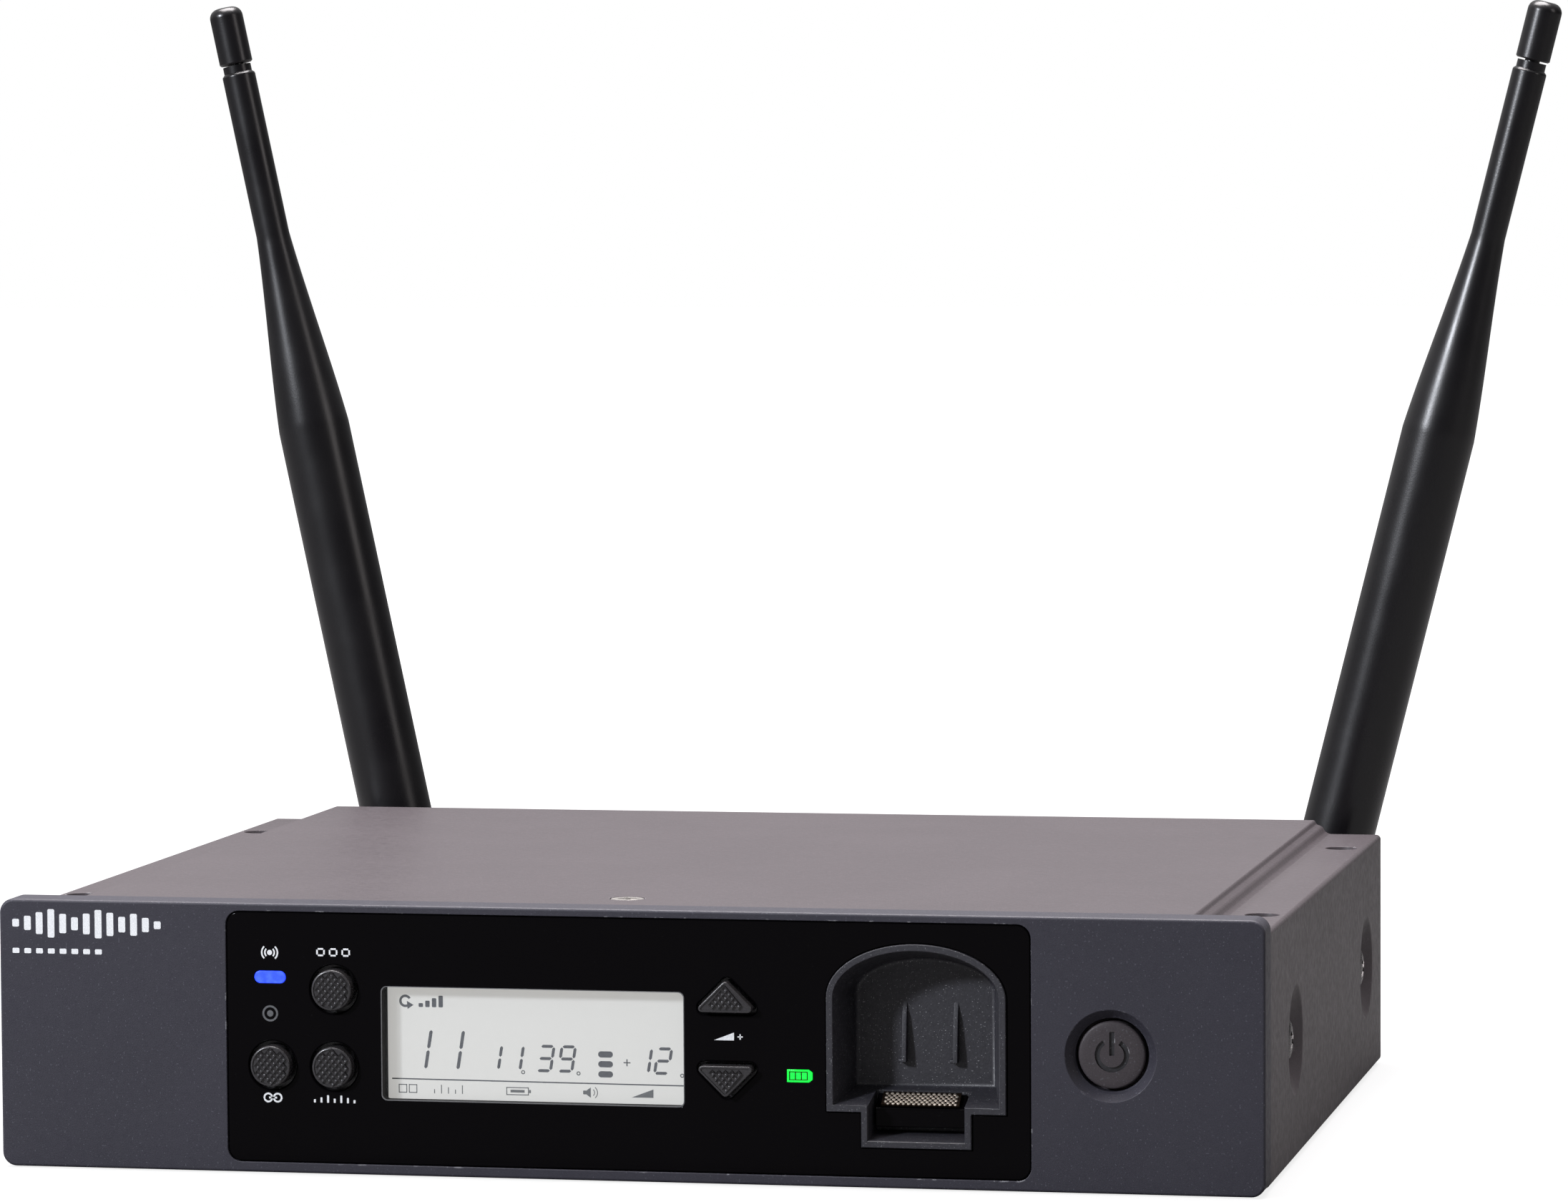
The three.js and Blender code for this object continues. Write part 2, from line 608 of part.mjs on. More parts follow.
function topCover() {
  let cover = plate(coverSection(), COVER_FRONT, DEPTH);
  for (const side of [-1, 1]) {
    for (const depth of Object.values(DISH_DEPTHS)) {
      const { cup, hollow, screwHole } = dishCup(side, depth);
      cover = cut(cover.add(cup), hollow, screwHole);
    }
    for (const depth of LEDGE_HOLE_DEPTHS) {
      cover = cover.subtract(rod(LEDGE_HOLE_RADIUS, 36, 42, 'z', [side * LEDGE_HOLE_X, depth, 0], ROUND));
    }
  }
  const { x, depth, radius } = TOP_SCREW;
  const sink = turned(
    [
      [0, 39], [1.8, 39], [1.8, COVER_TOP - 1.2],
      [radius + 0.2, COVER_TOP - 0.3], [radius + 0.2, 43], [0, 43],
    ],
    'z', [x, depth, 0],
  );
  return cover.subtract(sink);
}

function chassisBase() {
  const floor = box(-BASE_HALF, BASE_HALF, COVER_FRONT, DEPTH - GAP, 0, SHEET);
  const flanges = [-1, 1].map((side) => {
    const [a, b] = [side * (BASE_HALF - SHEET), side * BASE_HALF];
    return box(Math.min(a, b), Math.max(a, b), COVER_FRONT, DEPTH - GAP, 0, BASE_FLANGE_TOP);
  });
  const tabs = [-1, 1].map((side) => {
    const [a, b] = [side * 86.8, side * BASE_HALF];
    return box(Math.min(a, b), Math.max(a, b), COVER_FRONT, COVER_FRONT + SHEET, 0, BASE_FLANGE_TOP);
  });
  const rear = joined(
    box(-BASE_HALF, BASE_HALF, REAR_INNER, DEPTH, 0, REAR_TOP),
    box(-PLATEAU_HALF + 2, PLATEAU_HALF - 2, REAR_INNER, DEPTH, REAR_TOP - 1, COVER_TOP - SHEET - GAP),
  );
  const posts = POST_PLACES.map(([x, depth]) => {
    return rod(POST_RADIUS, 0.5, BOARD.bottom - GAP, 'z', [x, depth, 0], SMALL_ROUND);
  });
  const tray = joined(floor, ...flanges, ...tabs, rear, ...posts);
  const holes = [];
  for (const side of [-1, 1]) {
    for (const z of BEZEL_SCREW_HEIGHTS) {
      holes.push(rod(SCREW_HOLE_RADIUS, 5, 10, 'y', [side * BEZEL_SCREW_X, 0, z], SMALL_ROUND));
    }
    for (const depth of Object.values(DISH_DEPTHS)) {
      holes.push(rod(1.5, side * 90, side * 96, 'x', [0, depth, DISH_HEIGHT], SMALL_ROUND));
    }
  }
  for (const [x, depth] of POST_PLACES) holes.push(rod(1.3, 2, 8, 'z', [x, depth, 0], SMALL_ROUND));
  for (const { x } of ANTENNAS) holes.push(rod(4.9, 148, 156, 'y', [x, 0, MID_HEIGHT]));
  holes.push(rod(XLR.barrel + GAP, 148, 156, 'y', [XLR.x, 0, MID_HEIGHT], ROUND));
  for (const { x, z } of XLR_SCREWS) {
    holes.push(rod(1.5, 148, 156, 'y', [XLR.x + x, 0, MID_HEIGHT + z], SMALL_ROUND));
  }
  holes.push(rod(JACK.thread + GAP, 148, 156, 'y', [JACK.x, 0, MID_HEIGHT]));
  holes.push(box(
    INLET.x - INLET.half - GAP, INLET.x + INLET.half + GAP, 148, 156,
    MID_HEIGHT - INLET.tall - GAP, MID_HEIGHT + INLET.tall + GAP,
  ));
  const slotHalf = LEVEL_SWITCH.travel / 2 + 1.8;
  const slotX = [LEVEL_SWITCH.x - slotHalf, LEVEL_SWITCH.x + slotHalf];
  holes.push(box(...slotX, REAR_INNER - 3, DEPTH + 4, MID_HEIGHT - 1.9, MID_HEIGHT + 1.9));
  return cut(tray, ...holes);
}

// ---------------------------------------------------------------- inside the case

function mainBoard() {
  const { half, front, back, bottom, thick } = BOARD;
  const board = box(-half, half, front, back, bottom, bottom + thick);
  const holes = POST_PLACES.map(([x, depth]) => {
    return rod(1.7, bottom - 1, bottom + thick + 1, 'z', [x, depth, 0], SMALL_ROUND);
  });
  return cut(board, ...holes);
}

// A tin can pressed from thin sheet, open underneath.
function shieldCan(x0, x1, y0, y1, top) {
  const low = BOARD.bottom + BOARD.thick + GAP;
  const wall = 0.5;
  return cut(
    box(x0, x1, y0, y1, low, top),
    box(x0 + wall, x1 - wall, y0 + wall, y1 - wall, low - 1, top - wall),
  );
}

// ---------------------------------------------------------------- rear connectors

function xlrShell() {
  const place = [XLR.x, 0, MID_HEIGHT];
  const flange = plate(
    roundedRect(XLR.x - 13, XLR.x + 13, MID_HEIGHT - 15.5, MID_HEIGHT + 15.5, 3), DEPTH + GAP, DEPTH + 1.9,
  );
  const barrel = rod(XLR.barrel, XLR.front, DEPTH + 1, 'y', place);
  const bore = rod(XLR.bore, XLR.floor - 4, DEPTH + 3, 'y', place);
  const holes = XLR_SCREWS.map(({ x, z }) => (
    rod(1.7, DEPTH, DEPTH + 3, 'y', [XLR.x + x, 0, MID_HEIGHT + z], SMALL_ROUND)
  ));
  return cut(joined(flange, barrel), bore, ...holes);
}

function xlrInsert() {
  const disc = rod(XLR.bore - GAP, XLR.floor - 3.6, XLR.floor, 'y', [XLR.x, 0, MID_HEIGHT]);
  const pins = [90, 210, 330].map((degrees) => {
    const angle = THREE.MathUtils.degToRad(degrees);
    const place = [XLR.x + 4.9 * Math.cos(angle), 0, MID_HEIGHT + 4.9 * Math.sin(angle)];
    const profile = [
      [0, XLR.floor - 1], [1.2, XLR.floor - 1], [1.2, DEPTH - 4], [0.7, DEPTH - 3], [0, DEPTH - 3],
    ];
    return turned(profile, 'y', place, SMALL_ROUND);
  });
  return joined(disc, ...pins);
}

function jackSocket() {
  const place = [JACK.x, 0, MID_HEIGHT];
  const body = box(JACK.x - 8, JACK.x + 8, 122, REAR_INNER - GAP, MID_HEIGHT - 8, MID_HEIGHT + 8);
  const thread = rod(JACK.thread, REAR_INNER - 1, DEPTH + 3, 'y', place);
  return cut(joined(body, thread), rod(JACK.bore, 125, DEPTH + 4, 'y', place));
}

function jackNut() {
  const hexagon = [];
  for (let i = 0; i < 6; i += 1) {
    const angle = (Math.PI / 3) * i;
    hexagon.push(new THREE.Vector2(JACK.x + 7.8 * Math.cos(angle), MID_HEIGHT + 7.8 * Math.sin(angle)));
  }
  const nut = plate(new THREE.Shape(hexagon), DEPTH + GAP, DEPTH + 2.3);
  return cut(nut, rod(JACK.thread + 0.2, DEPTH - 1, DEPTH + 4, 'y', [JACK.x, 0, MID_HEIGHT]));
}

function dcInlet() {
  const place = [INLET.x, 0, MID_HEIGHT];
  const { x, half, tall } = INLET;
  const body = box(x - half, x + half, 138, DEPTH + 0.6, MID_HEIGHT - tall, MID_HEIGHT + tall);
  const mouth = rod(3.1, 142, DEPTH + 2, 'y', place);
  return joined(cut(body, mouth), rod(1.0, 141, DEPTH - 0.6, 'y', place, SMALL_ROUND));
}

function levelSwitchBody() {
  const [left, right] = [LEVEL_SWITCH.x - 6.5, LEVEL_SWITCH.x + 6.5];
  return box(left, right, 142, REAR_INNER - 1.3, MID_HEIGHT - 4, MID_HEIGHT + 4);
}

function levelSwitchKnob() {
  const x = LEVEL_SWITCH.x - LEVEL_SWITCH.travel / 2;
  const shoe = box(x - 3, x + 3, REAR_INNER - 1, REAR_INNER - 0.3, MID_HEIGHT - 2.6, MID_HEIGHT + 2.6);
  const grip = box(x - 1.4, x + 1.4, REAR_INNER - 0.7, DEPTH + 1.6, MID_HEIGHT - 1.5, MID_HEIGHT + 1.5);
  const groove = box(x - 0.3, x + 0.3, DEPTH + 1.1, DEPTH + 2, MID_HEIGHT - 2, MID_HEIGHT + 2);
  return cut(joined(shoe, grip), groove);
}

function antennaSocket({ x }) {
  const profile = [
    [0, 145], [4.4, 145], [4.4, DEPTH + GAP], [7.2, DEPTH + GAP], [7.2, DEPTH + 1.6], [4.7, DEPTH + 2.1],
    [4.7, 159.0], [2.2, 159.0], [2.2, 151.5], [0, 151.5],
  ];
  return turned(profile, 'y', [x, 0, MID_HEIGHT]);
}

// ---------------------------------------------------------------- screws

// A pan-head screw along Y, head towards +Y; the seat is at 0.
function panScrew(headRadius, headTall, shankRadius, shankLong) {
  const profile = [
    [0, -shankLong], [shankRadius, -shankLong], [shankRadius, 0], [headRadius, 0],
    [headRadius, headTall * 0.5], [headRadius * 0.7, headTall], [0, headTall],
  ];
  return turned(profile, 'y', [0, 0, 0], SMALL_ROUND);
}

// The same screw with a cross recess in its head.
function crossScrew(headRadius, headTall, shankRadius, shankLong) {
  const arm = headRadius * 0.62;
  const slot = headRadius * 0.15;
  const low = headTall * 0.45;
  return cut(
    panScrew(headRadius, headTall, shankRadius, shankLong),
    box(-arm, arm, low, headTall + 1, -slot, slot), box(-slot, slot, low, headTall + 1, -arm, arm),
  );
}

function countersunkScrew() {
  const { radius } = TOP_SCREW;
  const profile = [
    [0, -6], [1.2, -6], [1.2, -1.4], [radius, -0.3], [radius, 0], [0, 0.1],
  ];
  const arm = radius * 0.62;
  return cut(
    turned(profile, 'y', [0, 0, 0]),
    box(-arm, arm, -0.9, 1, -0.38, 0.38), box(-0.38, 0.38, -0.9, 1, -arm, arm),
  );
}

// ---------------------------------------------------------------- antennas

// Everything here is drawn about the elbow's pin, with the whip standing up along Z.
const BACK_OF_SOCKET = 159.2 - PIVOT_DEPTH;

function antennaCollar() {
  const [start, end] = [154.6 - PIVOT_DEPTH, 159.6 - PIVOT_DEPTH];
  const ribs = 12;
  const outline = [];
  for (let i = 0; i < ribs * 2; i += 1) {
    const angle = (Math.PI * i) / ribs;
    const radius = i % 2 ? 7.25 : 6.95;
    outline.push(new THREE.Vector2(radius * Math.cos(angle), radius * Math.sin(angle)));
  }
  return cut(plate(new THREE.Shape(outline), start, end), rod(5.1, start - 1, end + 1, 'y', [0, 0, 0]));
}

function antennaKnuckle() {
  const discFront = BACK_OF_SOCKET + 0.7;
  const disc = turned(
    [
      [0, discFront], [6.2, discFront], [6.6, discFront + 0.4],
      [6.6, discFront + 1.3], [0, discFront + 1.3],
    ],
    'y', [0, 0, 0],
  );
  const ears = [-1, 1].map((side) => {
    const [a, b] = [side * EAR_INNER, side * EAR_OUTER];
    const round = rod(EAR_RADIUS, Math.min(a, b), Math.max(a, b), 'x', [0, 0, 0]);
    const arm = box(Math.min(a, b), Math.max(a, b), discFront + 0.5, 0, -EAR_RADIUS, EAR_RADIUS - 0.6);
    return round.add(arm);
  });
  return cut(joined(disc, ...ears), rod(1.8, -8, 8, 'x', [0, 0, 0], SMALL_ROUND));
}

function antennaPin() {
  const reach = EAR_OUTER + 0.3;
  const profile = [
    [0, -reach], [1.3, -reach], [1.6, -reach + 0.3], [1.6, reach - 0.3], [1.3, reach], [0, reach],
  ];
  return turned(profile, 'x', [0, 0, 0], SMALL_ROUND);
}

function antennaWhip() {
  const [taperStart, taperEnd] = WHIP_TAPER;
  const profile = [
    [0, WHIP_START], [WHIP_RADIUS - 0.5, WHIP_START], [WHIP_RADIUS, WHIP_START + 0.5],
    [WHIP_RADIUS, taperStart],
  ];
  const steps = 3;
  for (let step = 1; step <= steps; step += 1) {
    const t = step / steps;
    const eased = 0.75 * t + 0.25 * THREE.MathUtils.smoothstep(t, 0, 1);
    profile.push([
      WHIP_RADIUS + (WHIP_THIN_RADIUS - WHIP_RADIUS) * eased,
      taperStart + (taperEnd - taperStart) * t,
    ]);
  }
  profile.push([WHIP_THIN_RADIUS, WHIP_END - 1.7], [WHIP_THIN_RADIUS - 0.45, WHIP_END - 1.3]);
  profile.push([WHIP_THIN_RADIUS - 0.45, WHIP_END], [1.3, WHIP_END]);
  profile.push([1.3, WHIP_END + 5], [0, WHIP_END + 5]);
  const stem = turned(profile, 'z', [0, 0, 0]);
  const tongue = joined(
    rod(EAR_RADIUS - 0.2, -TONGUE_HALF, TONGUE_HALF, 'x', [0, 0, 0]),
    box(-TONGUE_HALF, TONGUE_HALF, -EAR_RADIUS + 0.2, EAR_RADIUS - 0.2, 0, WHIP_START + 1),
  );
  return cut(joined(stem, tongue), rod(1.8, -8, 8, 'x', [0, 0, 0], SMALL_ROUND));
}

function antennaTip() {
  const start = WHIP_END + GAP;
  const radius = WHIP_THIN_RADIUS;
  const profile = [[1.6, WHIP_END + 5.4], [1.6, start], [radius - 0.2, start], [radius, start + 0.25]];
  profile.push([radius, WHIP_TIP - 1.4]);
  for (let step = 1; step <= 3; step += 1) {
    const angle = (Math.PI / 2) * (step / 3);
    profile.push([radius - 1.4 + 1.4 * Math.cos(angle), WHIP_TIP - 1.4 + 1.4 * Math.sin(angle)]);
  }
  profile.push([0, WHIP_TIP], [0, WHIP_END + 5.4], [1.6, WHIP_END + 5.4]);
  return turned(profile, 'z', [0, 0, 0]);
}

// ---------------------------------------------------------------- assembly

const receiver = new THREE.Group();

function add(name, body, material, parent = receiver) {
  const mesh = new THREE.Mesh(geometryOf(body), material);
  mesh.name = name;
  parent.add(mesh);
  return mesh;
}

add('front_bezel', frontBezel(), CASTING);
add('display_panel', displayPanel(), GLOSS_BLACK);
add(
  'lcd_window',
  box(LCD.x0, LCD.x1, LENS_FRONT, LENS_FRONT + LENS_THICK, LCD.z0 + 0.4, LCD.z1 - 0.4),
  CLEAR,
);
add('lcd_glass', box(LCD.x0, LCD.x1, LCD.front, LCD.front + LCD.thick, LCD.z0, LCD.z1), LCD_WHITE);
const backlightFront = LCD.front + LCD.thick + GAP;
add(
  'lcd_backlight',
  box(LCD.x0, LCD.x1, backlightFront, backlightFront + BACKLIGHT_THICK, LCD.z0, LCD.z1), LCD_WHITE,
);
add('rf_light_pipe', plate(rfLampOutline(0), PANEL.front + 0.05, SWITCH_FRONT - GAP, 6), BLUE_LAMP);
add('battery_light_pipe', plate(batteryLampOutline(0), PANEL.front + 0.05, SWITCH_FRONT - GAP), GREEN_LAMP);
for (const button of ROUND_BUTTONS) add(button.name, roundButton(button), BUTTON_BLACK);
for (const button of GAIN_BUTTONS) add(button.name, gainButton(button), BUTTON_BLACK);
add('power_button', powerButton(), CASTING);
add('battery_bay', batteryBay(), LINER);
add('charge_contact_block', contactBlock(), GLOSS_BLACK);
add('charge_contact_plate', contactPlate(), BRONZE);
add('front_board', frontBoard(), CIRCUIT);
add('power_board', powerBoard(), CIRCUIT);
add('charger_board', box(36, 58, 10.8, 12.4, 5, 36), CIRCUIT);

add('top_cover', topCover(), COVER_PAINT);
add('chassis_base', chassisBase(), COVER_PAINT);
add('main_board', mainBoard(), CIRCUIT);
add('left_tuner_shield', shieldCan(-84, -52, 98, 140, 14), TIN);
add('right_tuner_shield', shieldCan(56, 84, 98, 140, 14), TIN);
add('audio_shield', shieldCan(-26, 26, 48, 92, 12.5), TIN);

add('xlr_shell', xlrShell(), TIN);
add('xlr_insert', xlrInsert(), BLACK_PLASTIC);
add('jack_socket', jackSocket(), BLACK_PLASTIC);
add('jack_nut', jackNut(), TIN);
add('dc_inlet', dcInlet(), BLACK_PLASTIC);
add('level_switch_body', levelSwitchBody(), TIN);
add('level_switch_knob', levelSwitchKnob(), BLACK_PLASTIC);

const topScrew = add('top_screw', countersunkScrew(), SCREW_STEEL);
topScrew.rotation.x = Math.PI / 2;
topScrew.position.set(TOP_SCREW.x, TOP_SCREW.depth, COVER_TOP - 0.05);

for (const [sideName, side] of [['left', -1], ['right', 1]]) {
  for (const [endName, depth] of Object.entries(DISH_DEPTHS)) {
    const screw = add(`${sideName}_${endName}_case_screw`, crossScrew(3.3, 1.55, 1.2, 5), SCREW_STEEL);
    screw.rotation.z = (-side * Math.PI) / 2;
    screw.position.set(side * (COVER_HALF - DISH_DEPTH + FINE_GAP), depth, DISH_HEIGHT);
  }
  for (const [level, z] of [['lower', BEZEL_SCREW_HEIGHTS[0]], ['upper', BEZEL_SCREW_HEIGHTS[1]]]) {
    const screw = add(`${sideName}_${level}_bezel_screw`, panScrew(2.6, 1.6, 1.2, 5), SCREW_STEEL);
    screw.position.set(side * BEZEL_SCREW_X, COVER_FRONT + SHEET + FINE_GAP, z);
  }
}

for (const [number, [x, depth]] of POST_PLACES.entries()) {
  const screw = add(`board_screw_${number + 1}`, panScrew(2.6, 1.6, 1.0, 4.5), SCREW_STEEL);
  screw.rotation.x = Math.PI / 2;
  screw.position.set(x, depth, BOARD.bottom + BOARD.thick + FINE_GAP);
}

for (const { label, x, z } of XLR_SCREWS) {
  const screw = add(`xlr_${label}_screw`, crossScrew(2.6, 1.5, 1.2, 3.2), SCREW_STEEL);
  screw.position.set(XLR.x + x, DEPTH + 1.9 + FINE_GAP, MID_HEIGHT + z);
}

for (const antenna of ANTENNAS) {
  const { side, x, lean } = antenna;
  add(`${side}_antenna_socket`, antennaSocket(antenna), TIN);
  const assembly = new THREE.Group();
  assembly.position.set(x, PIVOT_DEPTH, MID_HEIGHT);
  assembly.rotation.y = THREE.MathUtils.degToRad(lean);
  receiver.add(assembly);
  add(`${side}_antenna_collar`, antennaCollar(), TIN, assembly);
  add(`${side}_antenna_knuckle`, antennaKnuckle(), ANTENNA_BLACK, assembly);
  add(`${side}_antenna_pin`, antennaPin(), SCREW_STEEL, assembly);
  add(`${side}_antenna_whip`, antennaWhip(), ANTENNA_BLACK, assembly);
  add(`${side}_antenna_tip`, antennaTip(), ANTENNA_BLACK, assembly);
}

receiver.position.y = -DEPTH / 2;
const part = new THREE.Group();
part.add(receiver);

export default part;
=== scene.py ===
# The looks of a half-rack wireless receiver: its case, front panel, keys, battery bay and antennas.
# Every shape is drawn in millimetres (X right, Y to the rear, Z up) and turned into metres when its
# piece is made. Places come from the boxes of the solids that the pieces stand for.

import json
import math

import bmesh
import bpy
from mathutils import Matrix, Vector


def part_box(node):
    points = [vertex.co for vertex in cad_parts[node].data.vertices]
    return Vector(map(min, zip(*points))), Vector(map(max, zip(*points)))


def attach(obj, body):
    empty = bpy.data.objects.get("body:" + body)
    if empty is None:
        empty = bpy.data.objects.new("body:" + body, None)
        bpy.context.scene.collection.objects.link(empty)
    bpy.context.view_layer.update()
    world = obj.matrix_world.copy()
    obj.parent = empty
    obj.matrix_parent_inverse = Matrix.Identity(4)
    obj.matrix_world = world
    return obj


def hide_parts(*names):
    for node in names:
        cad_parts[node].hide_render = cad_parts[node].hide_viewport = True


bpy.ops.wm.read_factory_settings(use_empty=True)
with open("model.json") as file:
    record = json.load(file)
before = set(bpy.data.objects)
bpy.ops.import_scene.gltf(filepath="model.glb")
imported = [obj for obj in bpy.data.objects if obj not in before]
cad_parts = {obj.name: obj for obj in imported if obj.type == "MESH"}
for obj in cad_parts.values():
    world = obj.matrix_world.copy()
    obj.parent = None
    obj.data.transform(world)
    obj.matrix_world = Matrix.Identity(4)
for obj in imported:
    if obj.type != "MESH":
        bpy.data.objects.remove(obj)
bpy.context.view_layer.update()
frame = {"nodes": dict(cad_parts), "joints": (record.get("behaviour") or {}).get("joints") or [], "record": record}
NODES = frame["nodes"]
MM = 0.001
TAU = 2 * math.pi

# ---- places, from the CAD frame


def span(node):
    """Lowest and highest corner of a CAD node, in millimetres."""
    low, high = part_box(node)
    return low / MM, high / MM


def middle(node):
    low, high = span(node)
    return (low + high) / 2


BEZEL_LOW, BEZEL_HIGH = span("front_bezel")
FACE = BEZEL_LOW.y
HALF_WIDTH = BEZEL_HIGH.x
PANEL_LOW, PANEL_HIGH = span("display_panel")
BAY_LOW, BAY_HIGH = span("battery_bay")
BLOCK_LOW, BLOCK_HIGH = span("charge_contact_block")
GLASS_FRONT = span("lcd_glass")[0].y
COVER_LOW, COVER_HIGH = span("top_cover")
POWER = middle("power_button")
REAR = span("chassis_base")[1].y
REAR_SEAT = REAR + 0.3
JOINTS = {joint["name"]: joint for joint in frame["joints"]}

# ---- sizes that the boxes don't give

ROUND = 64
FINE_ROUND = 96
GAP = 0.15
SHEET = 1.2

BEZEL_BACK = FACE + 6.5
BEZEL_CORNER = 2.2
PANEL_CORNER = 2.0
PANEL_BACK = FACE + 2.3
PANEL_LEDGE = 1.5
WINDOW = {"x0": -37.6, "x1": 9.8, "z0": 11.6, "z1": 29.1, "corner": 0.9}
ROUND_SOCKET = 3.75
ROUND_CAP = 3.15
KNURL_ACROSS = 1.02
KNURL_ROW = 0.6
GAIN_HALF_WIDTH = 5.0
GAIN_TALL = 4.95
GAIN_CORNER = 0.6
GAIN_SOCKET_GROW = 0.45
CAP_FRONT = FACE - 1.5
CAP_FLOOR = CAP_FRONT + 0.3
FLANGE_FRONT = FACE + 2.45
FLANGE_BACK = FACE + 3.25
POWER_DISH_RADIUS = 6.85
POWER_DISH_DEPTH = 1.7
POWER_HOLE_RADIUS = 5.55
POWER_CAP_RADIUS = 5.1
BAY_HALF = 13.75
BAY_SPRING = 28.8
BAY_SHOULDER = 11.5
BAY_RIM = 1.05
BAY_DRAFT = 2.1
TAB_HALF = 8.45
PLATEAU_HALF = 86.6
LEDGE_HALF = 89.5
LEDGE_TOP = 39.15
DISH_RADIUS = 8.35
DISH_FLOOR_RADIUS = 4.4
DISH_DEPTH = 2.2
LEDGE_HOLES = {"x": 94.2, "radius": 2.65, "places": (FACE + 29, FACE + 129)}

# ---- shapes in millimetres


def closed(bm):
    """Joins the seams of a new shape and turns its faces outwards."""
    bmesh.ops.remove_doubles(bm, verts=bm.verts, dist=1e-4)
    bmesh.ops.recalc_face_normals(bm, faces=bm.faces)
    return bm


def add_skin(bm, loops):
    """Adds a skin over loops of points with equal counts, closed at its ends."""
    rows = [[bm.verts.new(point) for point in loop] for loop in loops]
    count = len(rows[0])
    for near, far in zip(rows, rows[1:]):
        for i in range(count):
            j = (i + 1) % count
            bm.faces.new((near[i], near[j], far[j], far[i]))
    bm.faces.new(rows[0][::-1])
    bm.faces.new(rows[-1])


def rings(loops):
    """One closed skin as a shape of its own."""
    bm = bmesh.new()
    add_skin(bm, loops)
    return closed(bm)


AXES = {
    "x": Matrix.Rotation(math.pi / 2, 4, "Y"),
    "y": Matrix.Rotation(-math.pi / 2, 4, "X"),
    "z": Matrix.Identity(4),
}


def polar(radius, turn, centre=(0, 0)):
    """The point at a radius and a turn (1 being a whole one) from the centre."""
    return centre[0] + radius * math.cos(TAU * turn), centre[1] + radius * math.sin(TAU * turn)


def lathe(profile, axis="y", place=(0, 0, 0), segments=ROUND):
    """Points (radius, distance along the axis) turned about an axis through the place."""
    bm = bmesh.new()
    turn = Matrix.Translation(place) @ AXES[axis]
    rows = []
    for radius, along in profile:
        steps = segments if radius > 1e-6 else 1
        rows.append([
            bm.verts.new(turn @ Vector((*polar(radius, i / steps), along)))
            for i in range(steps)
        ])
    for near, far in zip(rows, rows[1:]):
        for i in range(segments):
            j = (i + 1) % segments
            corners = [near[i % len(near)], near[j % len(near)], far[j % len(far)], far[i % len(far)]]
            unique = list(dict.fromkeys(corners))
            if len(unique) > 2:
                bm.faces.new(unique)
    return closed(bm)


def quarter(start, end, steps, upright=False):
    """A quarter ellipse from start to end. It leaves along the first axis, or the second if upright."""
    points = []
    for step in range(steps + 1):
        angle = math.pi / 2 * step / steps
        rise, run = math.sin(angle), 1 - math.cos(angle)
        a, b = (run, rise) if upright else (rise, run)
        points.append((start[0] + (end[0] - start[0]) * a, start[1] + (end[1] - start[1]) * b))
    return points


def rod(radius, start, end, axis, place, edge=0.0, segments=ROUND):
    """A round bar with rounded end edges."""
    sides = [(radius, start), (radius, end)]
    if edge:
        sides = quarter((radius - edge, start), (radius, start + edge), 3)
        sides += quarter((radius, end - edge), (radius - edge, end), 3, True)
    return lathe([(0, start), *sides, (0, end)], axis, place, segments)


def offset(outline, distance):
    """The outline moved outwards by a distance, with mitred corners. It runs anticlockwise in X and Z."""
    moved = []
    count = len(outline)
    for i, here in enumerate(outline):
        before = (here - outline[i - 1]).normalized()
        after = (outline[(i + 1) % count] - here).normalized()
        out_a = Vector((before.y, -before.x))
        out_b = Vector((after.y, -after.x))
        moved.append(here + (out_a + out_b) * distance / (1 + out_a.dot(out_b)))
    return moved


def layered(outline, layers):
    """A skin through copies of the outline, each with its own growth and depth."""
    return rings([[(p.x, y, p.y) for p in offset(outline, grow)] for grow, y in layers])


def prism(outline, front, back, front_edge=0.0, back_edge=0.0, steps=3):
    """An outline in X and Z given depth along Y, with rounded end edges."""
    layers = quarter((-front_edge, front), (0, front + front_edge), steps) if front_edge else [(0, front)]
    layers += quarter((0, back - back_edge), (-back_edge, back), steps, True) if back_edge else [(0, back)]
    return layered(outline, layers)


def flared(outline, front, back, lip):
    """A cutter for a hole whose front edge at the depth `front` is rounded by the lip."""
    return layered(outline, [(lip, front - 2.0), *quarter((lip, front), (0, front + lip), 3), (0, back)])


def cuboid(x0, x1, y0, y1, z0, z1, edge=0.0):
    """A box. Its corners are a little rounder than its end edges, so that no outline crosses itself."""
    if edge:
        return prism(rounded_rect(x0, x1, z0, z1, edge * 1.25, 3), y0, y1, edge, edge)
    return rings([[(x0, y, z0), (x1, y, z0), (x1, y, z1), (x0, y, z1)] for y in (y0, y1)])


def arc(cx, cz, radius, start, end, steps):
    """Points on an arc, its angles in turns, as (X, Z)."""
    return [
        Vector(polar(radius, t, (cx, cz)))
        for t in (start + (end - start) * i / steps for i in range(steps + 1))
    ]


def rounded_rect(x0, x1, z0, z1, radius, steps=8):
    points = arc(x1 - radius, z0 + radius, radius, -0.25, 0, steps)
    points += arc(x1 - radius, z1 - radius, radius, 0, 0.25, steps)
    points += arc(x0 + radius, z1 - radius, radius, 0.25, 0.5, steps)
    points += arc(x0 + radius, z0 + radius, radius, 0.5, 0.75, steps)
    return points


